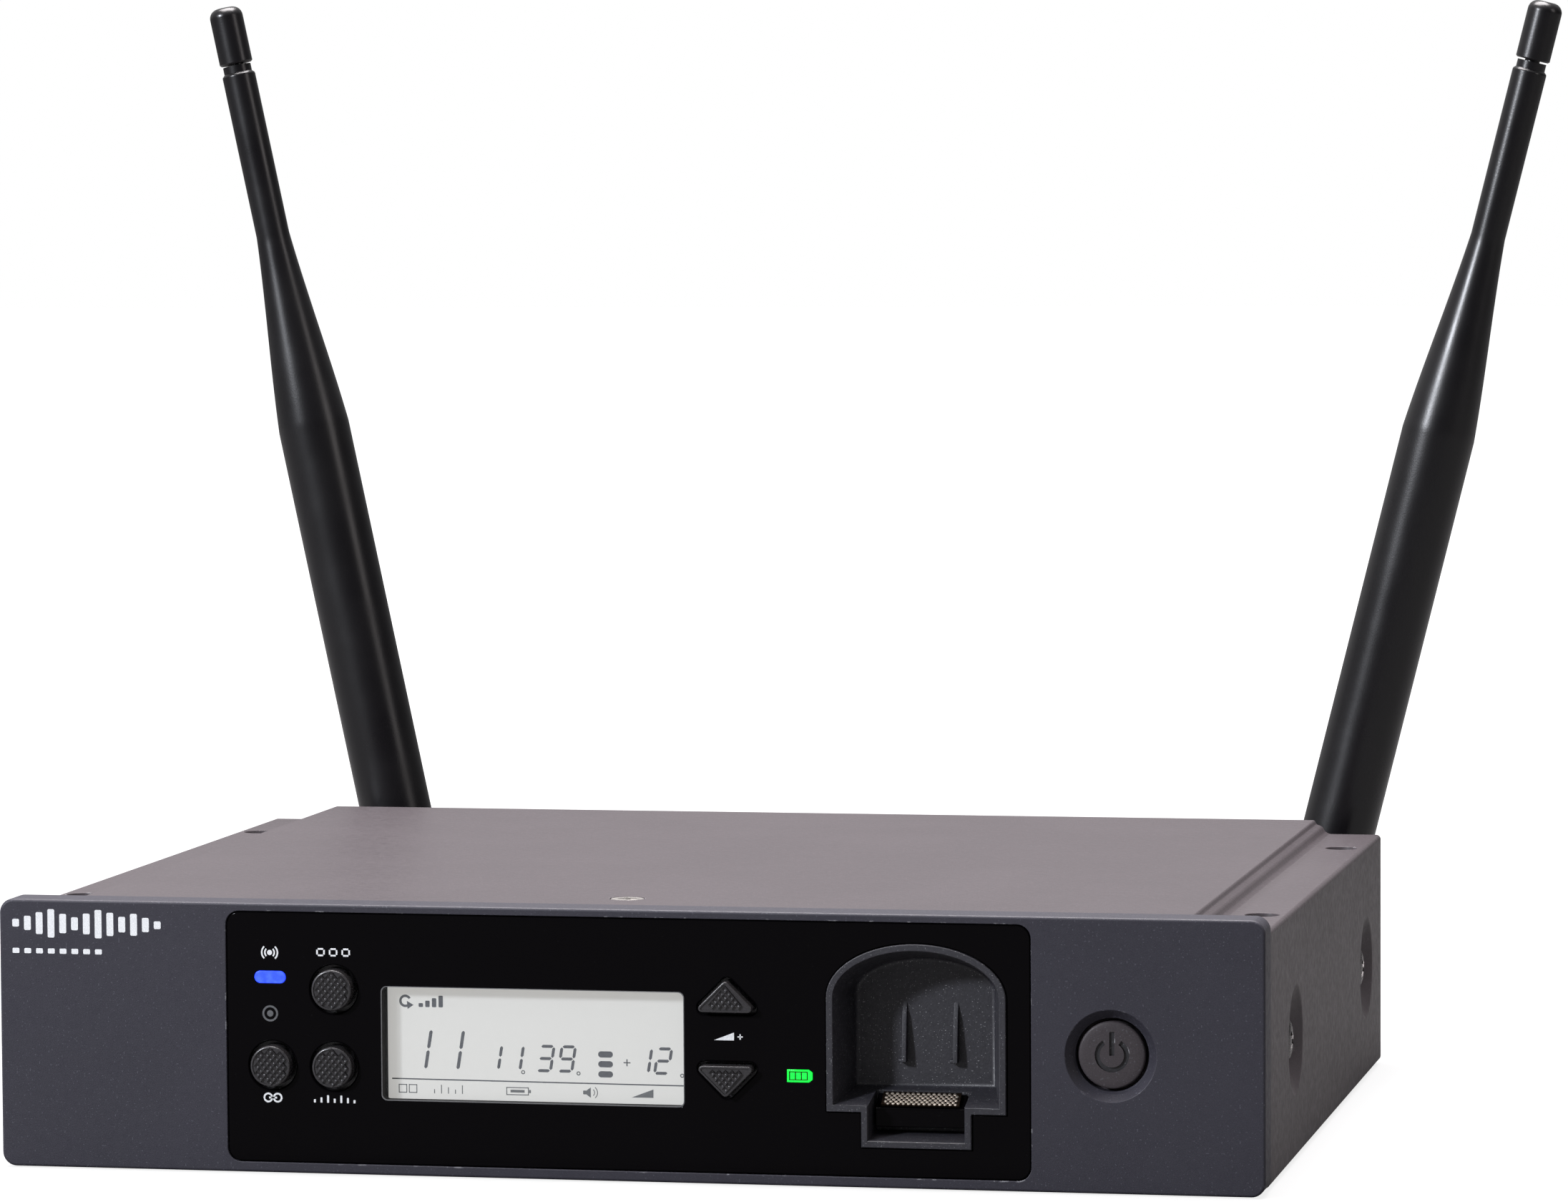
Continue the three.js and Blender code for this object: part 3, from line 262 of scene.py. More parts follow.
def rounded_polygon(corners, radius):
    """A convex polygon in X and Z, anticlockwise, with round corners."""
    points = []
    count, steps = len(corners), 6
    for i, corner in enumerate(corners):
        before = (corners[i - 1] - corner).normalized()
        after = (corners[(i + 1) % count] - corner).normalized()
        half = before.angle(after) / 2
        centre = corner + (before + after).normalized() * radius / math.sin(half)
        start = math.atan2(-(before + after).y, -(before + after).x)
        sweep = math.pi - 2 * half
        for step in range(steps + 1):
            angle = start - sweep / 2 + sweep * step / steps
            points.append(centre + Vector((math.cos(angle), math.sin(angle))) * radius)
    return points


def merged(*shapes):
    """Several shapes kept as loose parts of one."""
    total = bmesh.new()
    for shape in shapes:
        mesh = bpy.data.meshes.new("loose")
        shape.to_mesh(mesh)
        total.from_mesh(mesh)
        bpy.data.meshes.remove(mesh)
        shape.free()
    return total


def combined(first, others, operation):
    """Joins or cuts closed shapes, and mends what the cuts leave ragged."""
    scene = bpy.context.scene
    objects = []
    for shape in (first, *others):
        mesh = bpy.data.meshes.new("operand")
        shape.to_mesh(mesh)
        shape.free()
        objects.append(bpy.data.objects.new("operand", mesh))
        scene.collection.objects.link(objects[-1])
    for tool in objects[1:]:
        modifier = objects[0].modifiers.new("combine", "BOOLEAN")
        modifier.object = tool
        modifier.operation = operation
        modifier.solver = "EXACT"
    graph = bpy.context.evaluated_depsgraph_get()
    result = bmesh.new()
    evaluated = objects[0].evaluated_get(graph)
    result.from_mesh(evaluated.to_mesh())
    evaluated.to_mesh_clear()
    for item in objects:
        mesh = item.data
        bpy.data.objects.remove(item)
        bpy.data.meshes.remove(mesh)
    bmesh.ops.remove_doubles(result, verts=result.verts, dist=2e-4)
    bmesh.ops.dissolve_degenerate(result, edges=result.edges, dist=1e-4)
    bmesh.ops.holes_fill(result, edges=[edge for edge in result.edges if edge.is_boundary], sides=4)
    return result


def cut(first, *others):
    return combined(first, others, "DIFFERENCE")


def fuse(first, *others):
    return combined(first, others, "UNION")


def moved(shape, matrix):
    bmesh.ops.transform(shape, matrix=matrix, verts=shape.verts)
    return shape


SHARP_ANGLE = math.radians(38)
BEVEL_ANGLE = math.radians(40)


def piece(name, shape, material, body="case", node=None, bevel=0.0):
    """Makes the shape a named object in metres that rides on a body and stands for a solid."""
    bmesh.ops.transform(shape, matrix=Matrix.Scale(MM, 4), verts=shape.verts)
    mesh = bpy.data.meshes.new(name)
    shape.to_mesh(mesh)
    shape.free()
    mesh.shade_smooth()
    item = bpy.data.objects.new(name, mesh)
    bpy.context.scene.collection.objects.link(item)
    mesh.materials.append(material)
    if bevel:
        modifier = item.modifiers.new("soft_edges", "BEVEL")
        modifier.width = bevel * MM
        modifier.segments = 2
        modifier.limit_method = "ANGLE"
        modifier.angle_limit = BEVEL_ANGLE
        modifier.use_clamp_overlap = True
    else:
        mesh.set_sharp_from_angle(angle=SHARP_ANGLE)
    even = item.modifiers.new("even_normals", "WEIGHTED_NORMAL")
    even.keep_sharp = True
    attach(item, body)
    if node:
        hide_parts(node)
    return item


# ---- materials


class Graph:
    """A node tree, with short calls for the nodes used here."""

    def __init__(self, tree):
        self.tree = tree
        self.coordinates = self.node("ShaderNodeTexCoord").outputs

    def put(self, socket, value):
        """Links the socket to another one, or gives it a plain value."""
        if isinstance(value, bpy.types.NodeSocket):
            self.tree.links.new(value, socket)
        else:
            socket.default_value = value

    def node(self, kind, inputs=None, **values):
        made = self.tree.nodes.new(kind)
        for name, value in values.items():
            setattr(made, name, value)
        for name, value in (inputs or {}).items():
            self.put(made.inputs[name], value)
        return made

    def ramp(self, source, low, high, start=0.0, end=1.0, kind="LINEAR"):
        """Maps source from low..high to start..end, held at the ends."""
        limits = {"From Min": low, "From Max": high, "To Min": start, "To Max": end}
        ramp = self.node("ShaderNodeMapRange", {"Value": source, **limits}, interpolation_type=kind)
        return ramp.outputs["Result"]

    def seen(self, lit, seen):
        """One value for rays of light, and another for the camera's."""
        ray = self.node("ShaderNodeLightPath").outputs["Is Camera Ray"]
        return self.node("ShaderNodeMix", {"Factor": ray, "A": lit, "B": seen}).outputs["Result"]


class Paint(Graph):
    """A material on a Principled shader, with short calls for its procedural detail."""

    def __init__(self, name, colour, roughness, metallic=0.0, coat=0.0):
        self.material = bpy.data.materials.new(name)
        self.material.use_nodes = True
        super().__init__(self.material.node_tree)
        self.shader = self.tree.nodes["Principled BSDF"]
        self.under = (*colour, 1)
        self.set({
            "Base Color": self.under, "Roughness": roughness, "Metallic": metallic, "Coat Weight": coat,
            "Coat Roughness": 0.1,
        })

    def set(self, inputs):
        for name, value in inputs.items():
            self.put(self.shader.inputs[name], value)
        return self

    def noise(self, scale, detail=2.0, stretch=None):
        """Noise with `scale` grains to the metre, drawn out along an axis if stretch is given."""
        place = self.coordinates["Object"]
        if stretch:
            place = self.node("ShaderNodeMapping", {"Vector": place, "Scale": stretch}).outputs["Vector"]
        sockets = {"Vector": place, "Scale": scale, "Detail": detail}
        return self.node("ShaderNodeTexNoise", sockets).outputs["Fac"]

    def tint(self, amount, colour):
        """Mixes a colour over what the surface has so far, by an amount from 0 to 1."""
        inputs = {"Factor": amount, "A": self.under, "B": (*colour, 1)}
        self.under = self.node("ShaderNodeMix", inputs, data_type="RGBA").outputs["Result"]
        return self.set({"Base Color": self.under})

    def rough(self, source, low, high):
        return self.set({"Roughness": self.ramp(source, 0.3, 0.7, low, high)})

    def bump(self, source, height, strength):
        """Bump of the source, `height` in millimetres."""
        inputs = {"Height": source, "Distance": height * MM, "Strength": strength}
        return self.set({"Normal": self.node("ShaderNodeBump", inputs).outputs["Normal"]})

    def edges(self, radius):
        """1 on sharp outer edges and 0 on flat faces; the radius is in millimetres."""
        soft = self.node("ShaderNodeBevel", {"Radius": radius * MM}, samples=6).outputs["Normal"]
        plain = self.node("ShaderNodeNewGeometry").outputs["Normal"]
        dot = self.node("ShaderNodeVectorMath", {0: soft, 1: plain}, operation="DOT_PRODUCT")
        return self.ramp(dot.outputs["Value"], 0.99, 0.9)

    def sheen_level(self, level):
        """How strong the plain reflection is, 0.5 being the usual strength."""
        return self.set({"Specular IOR Level": level})

    def glow(self, colour, strength):
        return self.set({"Emission Color": (*colour, 1), "Emission Strength": strength})


def textured_paint(name, colour, speck, roughness, level, fleck_colour):
    """Powder coat: fine grain, scattered specks, cloudy tone and a little wear on the edges."""
    paint = Paint(name, colour, roughness).sheen_level(level)
    grain = paint.noise(5200, 3)
    cloud = paint.noise(38, 3)
    fleck = paint.noise(3300, 0)
    paint.tint(paint.ramp(grain, 0.35, 0.7, 0.0, 0.55), speck)
    paint.tint(paint.ramp(cloud, 0.4, 0.62, 0.0, 0.05), tuple(c * 1.5 for c in speck))
    paint.tint(paint.ramp(fleck, 0.74, 0.8, 0.0, 0.5), fleck_colour)
    worn = {0: paint.edges(0.35), 1: paint.ramp(paint.noise(520, 3), 0.62, 0.68)}
    chips = paint.node("ShaderNodeMath", worn, operation="MULTIPLY").outputs["Value"]
    paint.tint(chips, (0.36, 0.36, 0.38))
    paint.rough(paint.noise(900, 2), roughness - 0.05, roughness + 0.06)
    paint.bump(grain, 0.035, 0.55)
    return paint.material


def gloss_black():
    paint = Paint("panel_gloss", (0.0018, 0.0015, 0.0019), 0.09).sheen_level(0.06)
    paint.rough(paint.noise(60, 4), 0.07, 0.13)
    paint.tint(paint.ramp(paint.noise(1900, 1), 0.74, 0.82, 0, 0.25), (0.012, 0.012, 0.013))
    paint.bump(paint.noise(45, 1), 0.02, 0.25)
    return paint.material


def moulded(name, colour, roughness, grain=2600, height=0.03, fleck=0.35):
    """Moulded plastic with a fine spark-eroded texture."""
    paint = Paint(name, colour, roughness)
    texture = paint.noise(grain, 3)
    paint.tint(paint.ramp(texture, 0.4, 0.75, 0, 0.5), tuple(min(1, c * 1.9 + 0.004) for c in colour))
    paint.tint(paint.ramp(paint.noise(grain * 1.5, 0), 0.74, 0.8, 0, fleck), (0.2, 0.2, 0.21))
    paint.rough(paint.noise(grain * 0.3, 2), roughness - 0.05, roughness + 0.07)
    paint.bump(texture, height, 0.5)
    return paint.material


def plated(name, colour, roughness):
    """Turned and plated metal with fine lines and a few dull patches."""
    paint = Paint(name, colour, roughness, metallic=1.0)
    lines = paint.noise(900, 3, (1, 1, 12))
    paint.tint(paint.ramp(lines, 0.3, 0.8, 0, 0.45), tuple(c * 0.6 for c in colour))
    paint.tint(paint.ramp(paint.noise(160, 4), 0.55, 0.75, 0, 0.4), tuple(c * 0.45 for c in colour))
    paint.rough(lines, roughness - 0.06, roughness + 0.12)
    paint.bump(lines, 0.012, 0.4)
    return paint.material


def lcd_white():
    paint = Paint("lcd_white", (0.22, 0.22, 0.21), 0.32)
    paint.tint(paint.ramp(paint.noise(26, 1), 0.35, 0.7, 0, 0.3), (0.19, 0.195, 0.185))
    paint.rough(paint.noise(1500, 1), 0.28, 0.36)
    paint.glow((0.91, 0.9, 0.87), 0.50)
    paint.bump(paint.noise(4000, 1), 0.004, 0.3)
    return paint.material


def lamp(name, colour, strength, deep):
    """A lit light pipe, a little uneven in its tone."""
    paint = Paint(name, colour, 0.28, coat=0.4)
    paint.glow(colour, strength)
    mottle = paint.ramp(paint.noise(1500, 3), 0.3, 0.7, 0, 0.6)
    paint.tint(mottle, deep)
    inputs = {"Factor": mottle, "A": (*colour, 1), "B": (*deep, 1)}
    mix = paint.node("ShaderNodeMix", inputs, data_type="RGBA")
    return paint.set({"Emission Color": mix.outputs["Result"]}).material


def clear_pane():
    paint = Paint("clear_window", (0.8, 0.83, 0.83), 0.04).set({"Alpha": 0.07})
    paint.rough(paint.noise(70, 2), 0.03, 0.07)
    return paint.material


def circuit():
    """Green solder mask with traces and a weave under it."""
    paint = Paint("circuit_green", (0.012, 0.085, 0.03), 0.35, coat=0.3)
    paint.tint(paint.ramp(paint.noise(700, 0, (6, 1, 1)), 0.55, 0.6, 0, 0.6), (0.03, 0.17, 0.06))
    paint.tint(paint.ramp(paint.noise(700, 0, (1, 6, 1)), 0.6, 0.64, 0, 0.6), (0.035, 0.19, 0.07))
    paint.rough(paint.noise(900, 2), 0.3, 0.42)
    paint.bump(paint.noise(1400, 2), 0.02, 0.4)
    return paint.material


def antenna_rubber():
    """Satin moulded rubber: fine grain, and faint draw marks along the whip."""
    paint = Paint("antenna_black", (0.0028, 0.0024, 0.0034), 0.32).sheen_level(0.45)
    grain = paint.noise(3600, 3)
    paint.tint(paint.ramp(grain, 0.4, 0.75, 0, 0.5), (0.005, 0.0045, 0.005))
    paint.tint(paint.ramp(paint.noise(30, 3, (6, 6, 1)), 0.5, 0.7, 0, 0.35), (0.006, 0.0055, 0.006))
    paint.rough(paint.noise(110, 3), 0.27, 0.34)
    paint.bump(grain, 0.022, 0.45)
    return paint.material


CASTING = textured_paint(
    "casting_paint", (0.026, 0.025, 0.033), (0.040, 0.038, 0.050), 0.5, 0.25, (0.09, 0.09, 0.11),
)
POWER_PAINT = textured_paint(
    "power_key_paint", (0.038, 0.032, 0.035), (0.056, 0.048, 0.052), 0.5, 0.25, (0.09, 0.09, 0.10),
)
COVER_PAINT = textured_paint(
    "cover_paint", (0.054, 0.047, 0.051), (0.076, 0.065, 0.071), 0.43, 0.17, (0.14, 0.12, 0.13),
)
PANEL_GLOSS = gloss_black()
LCD_INK = moulded("lcd_ink", (0.006, 0.007, 0.016), 0.3, 3000, 0.002, 0.0)
LCD_GREY = moulded("lcd_grey", (0.045, 0.047, 0.05), 0.4, 3000, 0.002, 0.0)
PRINT_WHITE = moulded("print_white", (0.62, 0.63, 0.64), 0.5, 5000, 0.004, 0.0)
PRINT_GREY = moulded("print_grey", (0.07, 0.072, 0.076), 0.5, 5000, 0.004, 0.0)
# Grey for the ring at the front of the panel's window: a painted highlight of that edge's glint.
PANE_GLINT_GREY = moulded("pane_glint_grey", (0.09, 0.09, 0.093), 0.4, 5000, 0.004, 0.0)
KEY_BLACK = moulded("key_black", (0.024, 0.0225, 0.024), 0.27, 4200, 0.006, 0.1)
LINER = moulded("liner_grey", (0.014, 0.0135, 0.018), 0.5, 3400, 0.05, 0.9)
BLUE = lamp("blue_lamp", (0.015, 0.05, 1.0), 0.85, (0.05, 0.12, 1.0))
GREEN = lamp("green_lamp", (0.0, 0.75, 0.035), 0.95, (0.0, 0.85, 0.06))
BRONZE = plated("contact_bronze", (0.03, 0.02, 0.014), 0.45)
CONTACT_POINTS = plated("contact_points", (0.95, 0.86, 0.76), 0.32)
PLATED = plated("plated_metal", (0.56, 0.57, 0.58), 0.3)
SCREW = plated("screw_steel", (0.42, 0.40, 0.38), 0.34)
SCREW_BLACK = plated("screw_black", (0.11, 0.105, 0.105), 0.26)
BLACK_PLASTIC = moulded("black_plastic", (0.01, 0.01, 0.012), 0.42)
BLACK_MATT = moulded("black_matt", (0.003, 0.003, 0.003), 0.9, 2600, 0.01, 0.0)
ANTENNA = antenna_rubber()

# The materials of each slot. The first is that of the bare solids.
SLOTS = {
    "casting_paint": (CASTING, POWER_PAINT),
    "cover_paint": (COVER_PAINT,),
    "panel_gloss": (PANEL_GLOSS, PRINT_GREY),
    "clear_window": (clear_pane(), PANE_GLINT_GREY),
    "lcd_white": (lcd_white(),),
    "key_black": (KEY_BLACK, LCD_INK, LCD_GREY),
    "liner_grey": (LINER,),
    "blue_lamp": (BLUE,),
    "green_lamp": (GREEN,),
    "contact_bronze": (BRONZE, CONTACT_POINTS),
    "circuit_green": (circuit(),),
    "plated_metal": (PLATED,),
    "screw_steel": (SCREW, SCREW_BLACK),
    "black_plastic": (BLACK_PLASTIC,),
    "antenna_black": (ANTENNA,),
}
for part in frame["record"]["subparts"]:
    node = NODES[part["node"]]
    node.data.materials.clear()
    node.data.materials.append(SLOTS[part["material_slot"]][0])

# ---- outlines of the front


def gain_outline(node, up, grow):
    """The gain key's triangle, placed on its CAD node and grown by an even margin."""
    low, high = span(node)
    flange = 0.9
    base = low.z + flange if up > 0 else high.z - flange
    slant = math.hypot(GAIN_HALF_WIDTH, GAIN_TALL)
    inner = GAIN_HALF_WIDTH * GAIN_TALL / (GAIN_HALF_WIDTH + slant)
    scale = (inner + grow) / inner
    corners = []
    for x, z in ((-GAIN_HALF_WIDTH, 0), (GAIN_HALF_WIDTH, 0), (0, GAIN_TALL)):
        rise = inner + (z - inner) * scale
        corners.append(Vector(((low.x + high.x) / 2 + x * scale, base + up * rise)))
    if up < 0:
        corners.reverse()
    return rounded_polygon(corners, GAIN_CORNER + grow)


def bay_arch(inset):
    """The bay's arch: a half ellipse over straight sides and a flat floor."""
    centre = (BAY_LOW.x + BAY_HIGH.x) / 2
    half = BAY_HALF - inset
    rise = BAY_HIGH.z - BAY_SPRING - inset
    steps = 40
    points = [Vector((centre - half, BAY_SHOULDER + inset)), Vector((centre + half, BAY_SHOULDER + inset))]
    for step in range(steps + 1):
        angle = math.pi * step / steps
        points.append(Vector((centre + half * math.cos(angle), BAY_SPRING + rise * math.sin(angle))))
    return points


def bay_mouth(grow):
    """The whole mouth, with its square tab below the arch."""
    centre = (BAY_LOW.x + BAY_HIGH.x) / 2
    arch = bay_arch(0)
    tab = [
        Vector((centre + x, z))
        for x, z in (
            (-TAB_HALF, BAY_SHOULDER), (-TAB_HALF, BAY_LOW.z),
            (TAB_HALF, BAY_LOW.z), (TAB_HALF, BAY_SHOULDER),
        )
    ]
    return offset([arch[0], *tab, *arch[1:]], grow)


def battery_outline(node, grow):
    low, high = span(node)
    nub = 0.55
    points = [
        (low.x, low.z), (high.x - nub, low.z), (high.x, low.z + nub * 0.75), (high.x, high.z - nub * 0.75),
        (high.x - nub, high.z), (low.x, high.z),
    ]
    return offset([Vector(point) for point in points], grow)


def pill_outline(node, grow):
    low, high = span(node)
    tall = high.z - low.z
    corner = tall / 2 + grow - 0.01
    return rounded_rect(low.x - grow, high.x + grow, low.z - grow, high.z + grow, corner, 16)


# ---- the front


def panel_outline(grow, corner, steps=10):
    low, high = PANEL_LOW, PANEL_HIGH
    return rounded_rect(low.x - grow, high.x + grow, low.z - grow, high.z + grow, corner, steps)


def make_bezel():
    """The cast frame with the panel's seat, the dish round the power key and the ear for the top screw."""
    body = prism(
        rounded_rect(-HALF_WIDTH, HALF_WIDTH, BEZEL_LOW.z, BEZEL_HIGH.z, BEZEL_CORNER, 10),
        FACE, BEZEL_BACK, 0.45, 0.3, 4,
    )
    seat = flared(panel_outline(GAP, PANEL_CORNER + GAP), FACE, PANEL_BACK, 0.12)
    through = prism(panel_outline(-PANEL_LEDGE, PANEL_CORNER, 8), FACE - 1, BEZEL_BACK + 1)
    lip = 0.22
    dish = [(0, -2), (POWER_DISH_RADIUS + lip, -2)]
    dish += quarter((POWER_DISH_RADIUS + lip, 0), (POWER_DISH_RADIUS, lip), 4)
    dish += [
        (POWER_HOLE_RADIUS + 0.35, POWER_DISH_DEPTH - 0.1), (POWER_HOLE_RADIUS + 0.1, POWER_DISH_DEPTH),
        (POWER_HOLE_RADIUS, POWER_DISH_DEPTH + 0.15), (POWER_HOLE_RADIUS, 5), (0, 5),
    ]
    centre = (POWER.x, FACE, POWER.z)
    pocket = rod(7.6, 3.6, 8, "y", centre)
    screw = middle("top_screw")
    ear = cuboid(screw.x - 6, screw.x + 6, BEZEL_BACK - 1, FACE + 21, 38.75, 39.95, 0.3)
    ear_hole = rod(1.5, 35, 42, "z", (screw.x, screw.y, 0))
    shape = cut(fuse(body, ear), seat, through, lathe(dish, "y", centre, FINE_ROUND), pocket, ear_hole)
    piece("bezel_casting", shape, CASTING, node="front_bezel")


def make_panel():
    """The glossy fascia with its window, bay mouth, lamp holes and key sockets."""
    front = PANEL_LOW.y
    back = PANEL_HIGH.y
    window = rounded_rect(WINDOW["x0"], WINDOW["x1"], WINDOW["z0"], WINDOW["z1"], WINDOW["corner"])
    deep = back + 1
    holes = [
        flared(window, front, deep, 0.28), flared(bay_mouth(GAP), front, deep, 0.1),
        flared(pill_outline("rf_light_pipe", 0.05), front, deep, 0.05),
        flared(battery_outline("battery_light_pipe", 0.05), front, deep, 0.05),
        flared(gain_outline("gain_up_button", 1, GAIN_SOCKET_GROW), front, deep, 0.3),
        flared(gain_outline("gain_down_button", -1, GAIN_SOCKET_GROW), front, deep, 0.3),
    ]
    for name in ("group_button", "link_button", "channel_button"):
        centre = middle(name)
        ring = arc(centre.x, centre.z, ROUND_SOCKET, 0, 1 - 1 / ROUND, ROUND - 1)
        holes.append(flared(ring, front, deep, 0.3))
    shape = cut(prism(panel_outline(0, PANEL_CORNER), front, back, 0.18, 0.1), *holes)
    piece("panel_fascia", shape, PANEL_GLOSS, node="display_panel")


def knurl(inside, front, centre):
    """Staggered rows of diamond cells, each hollowed like a bowl, kept where `inside` says."""
    bm = bmesh.new()
    tall, deep, reach = 0.36, 0.3, 10
    wide, high = KNURL_ACROSS * 0.49, KNURL_ROW * 0.96
    ways = ((1, 0), (0.5, 0.5), (0, 1), (-0.5, 0.5), (-1, 0), (-0.5, -0.5), (0, -1), (0.5, -0.5))
    diamond = [(wide * across, high * up) for across, up in ways]
    bowl = 0.36
    for row in range(-reach, reach + 1):
        for column in range(-reach, reach + 1):
            x = centre[0] + (column + 0.5 * (row % 2)) * KNURL_ACROSS
            z = centre[1] + row * KNURL_ROW
            if not inside(x, z, wide * 0.62):
                continue
            loops = [[(x + dx, front + 0.02, z + dz) for dx, dz in diamond]]
            for size, mix in ((1.0, 1.0), (0.8, 0.45), (0.5, 0.1), (0.22, 0.0)):
                y = front - tall + deep * (1 - size * size)
                loop = []
                for i, corner in enumerate(diamond):
                    dx, dz = (
                        size * (straight * mix + round_one * (1 - mix))
                        for straight, round_one in zip(corner, polar(bowl, i / len(diamond)))
                    )
                    loop.append((x + dx, y, z + dz))
                loops.append(loop)
            add_skin(bm, loops)
    return closed(bm)


def make_round_keys():
    for key in ("group", "link", "channel"):
        node = f"{key}_button"
        centre = middle(node)
        floor = CAP_FLOOR
        edge = 0.3
        profile = [(0, floor), (ROUND_CAP - 0.4, floor), (ROUND_CAP - 0.36, floor - 0.16)]
        profile += quarter((ROUND_CAP - edge, floor + 0.14 - edge), (ROUND_CAP, floor + 0.14), 6)
        profile += [(ROUND_CAP, FLANGE_FRONT), (4.5, FLANGE_FRONT), (4.5, FLANGE_BACK), (0, FLANGE_BACK)]
        cap = lathe(profile, "y", (centre.x, 0, centre.z), FINE_ROUND)
        stem = rod(1.4, FLANGE_BACK - 0.05, span(node)[1].y, "y", (centre.x, 0, centre.z))
        radius = ROUND_CAP - 0.36

        def inside(x, z, margin):
            return math.hypot(x - centre.x, z - centre.z) < radius - margin

        points = knurl(inside, floor, (centre.x, centre.z))
        piece(f"{key}_key_cap", merged(cap, stem, points), KEY_BLACK, f"{key}_key", node)


def make_gain_keys():
    for key, up in (("gain_up", 1), ("gain_down", -1)):
        node = f"{key}_button"
        floor = CAP_FLOOR
        walls = gain_outline(node, up, -0.34)
        cap = prism(gain_outline(node, up, 0), CAP_FRONT + 0.12, FACE + 2.6, 0.22, 0, 5)
        hollow = prism(walls, CAP_FRONT - 1, floor)
        flange = prism(gain_outline(node, up, 0.9), FLANGE_FRONT, FLANGE_BACK)
        centre = middle(node).xz

        def inside(x, z, margin):
            point = Vector((x, z))
            for i, corner in enumerate(walls):
                along = walls[(i + 1) % len(walls)] - corner
                if along.length > 1e-6 and along.normalized().cross(point - corner) < margin:
                    return False
            return True

        points = knurl(inside, floor, centre)
        back = span(node)[1].y
        stem = rod(1.2, FLANGE_BACK - 0.05, back, "y", (centre.x, 0, centre.y - up * 0.5))
        shape = merged(cut(cap, hollow), flange, stem, points)
        piece(f"{key}_key_cap", shape, KEY_BLACK, f"{key}_key", node)


def make_power_key():
    low, high = span("power_button")
    face = low.y
    profile = [(0, face)]
    crown, edge = 0.14, 0.35
    for step in range(1, 7):
        radius = (POWER_CAP_RADIUS - edge) * step / 6
        profile.append((radius, face + crown * (radius / POWER_CAP_RADIUS) ** 2))
    rim = POWER_CAP_RADIUS
    profile += quarter((rim - edge, face + crown), (rim, face + crown + edge), 4)[1:]
    profile += [(POWER_CAP_RADIUS, FACE + 3.9), (6.6, FACE + 3.9), (6.6, FACE + 4.9), (1.6, FACE + 4.9)]
    profile += [(1.6, high.y), (0, high.y)]
    cap = lathe(profile, "y", (POWER.x, 0, POWER.z), FINE_ROUND)
    opening = 33 / 360
    ring = arc(POWER.x, POWER.z, 2.6, 0.25 + opening, 1.25 - opening, 40)
    ring += arc(POWER.x, POWER.z, 1.85, 1.25 - opening, 0.25 + opening, 40)
    bar = rounded_rect(POWER.x - 0.38, POWER.x + 0.38, POWER.z - 0.1, POWER.z + 3.5, 0.12)
    shape = cut(cap, prism(ring, face - 1, face + 0.42), prism(bar, face - 1, face + 0.42))
    piece("power_key_cap", shape, POWER_PAINT, "power_key", "power_button")
    inlay = merged(prism(ring, face + 0.36, face + 0.41), prism(bar, face + 0.35, face + 0.4))
    piece("power_key_sign", inlay, BLACK_PLASTIC, "power_key")


# ---- the battery bay


def make_bay():
    """The liner, its drafted pocket, the square tab and the two wedge ribs on its back wall."""
    centre = (BAY_LOW.x + BAY_HIGH.x) / 2
    front = BAY_LOW.y
    floor = FACE + 8.5
    shell = prism(bay_mouth(0), front, BAY_HIGH.y, 0.16, 0.1)
    lip = 0.14
    loops = [(BAY_RIM - lip, front - 1), *quarter((BAY_RIM - lip, front), (BAY_RIM, front + lip), 3)]
    fillet, inset = 0.8, BAY_RIM + BAY_DRAFT - 0.3
    loops += quarter((inset, floor - fillet), (inset + fillet, floor), 3, True)
    pocket = rings([[(p.x, y, p.y) for p in bay_arch(inset)] for inset, y in loops])
    half = TAB_HALF - BAY_RIM
    low, high = BAY_LOW.z + BAY_RIM, 14.6

    def tab(inset, rise, y):
        left, right = centre - half + inset, centre + half - inset
        return [(left, y, low + rise), (right, y, low + rise), (right, y, high), (left, y, high)]

    notch = rings([
        tab(-lip, -lip, front - 1), tab(-lip, -lip, front),
        tab(0, 0, front + lip), tab(0.15, 0.8, FACE + 6.5),
    ])
    tail = cuboid(centre - 4.8, centre + 4.8, FACE + 5.5, BAY_HIGH.y + 1, 9.4, 12.2)
    shell = cut(shell, pocket, notch, tail)
    ribs = []
    back, foot, rib_half = floor + 0.05, 18.2, 0.38
    side = [(back, foot), (back - 1.5, foot), (back - 1.35, 20.4), (back - 0.75, 25.0), (back, 27.5)]
    for place in (-3.2, 4.7):
        x = centre + place
        ribs.append(rings([[(x + dx, y, z) for y, z in side] for dx in (-rib_half, rib_half)]))
        ribs.append(cuboid(x - 0.85, x + 0.3, back - 1.45, back, foot, 18.75))
    piece("bay_liner", shell, LINER, node="battery_bay")
    piece("bay_ribs", merged(*ribs), LINER, bevel=0.12)


DIMPLE = [(0, -0.02), (0.27, -0.02), (0.27, 0.03), (0.2, 0.12), (0, 0.16)]


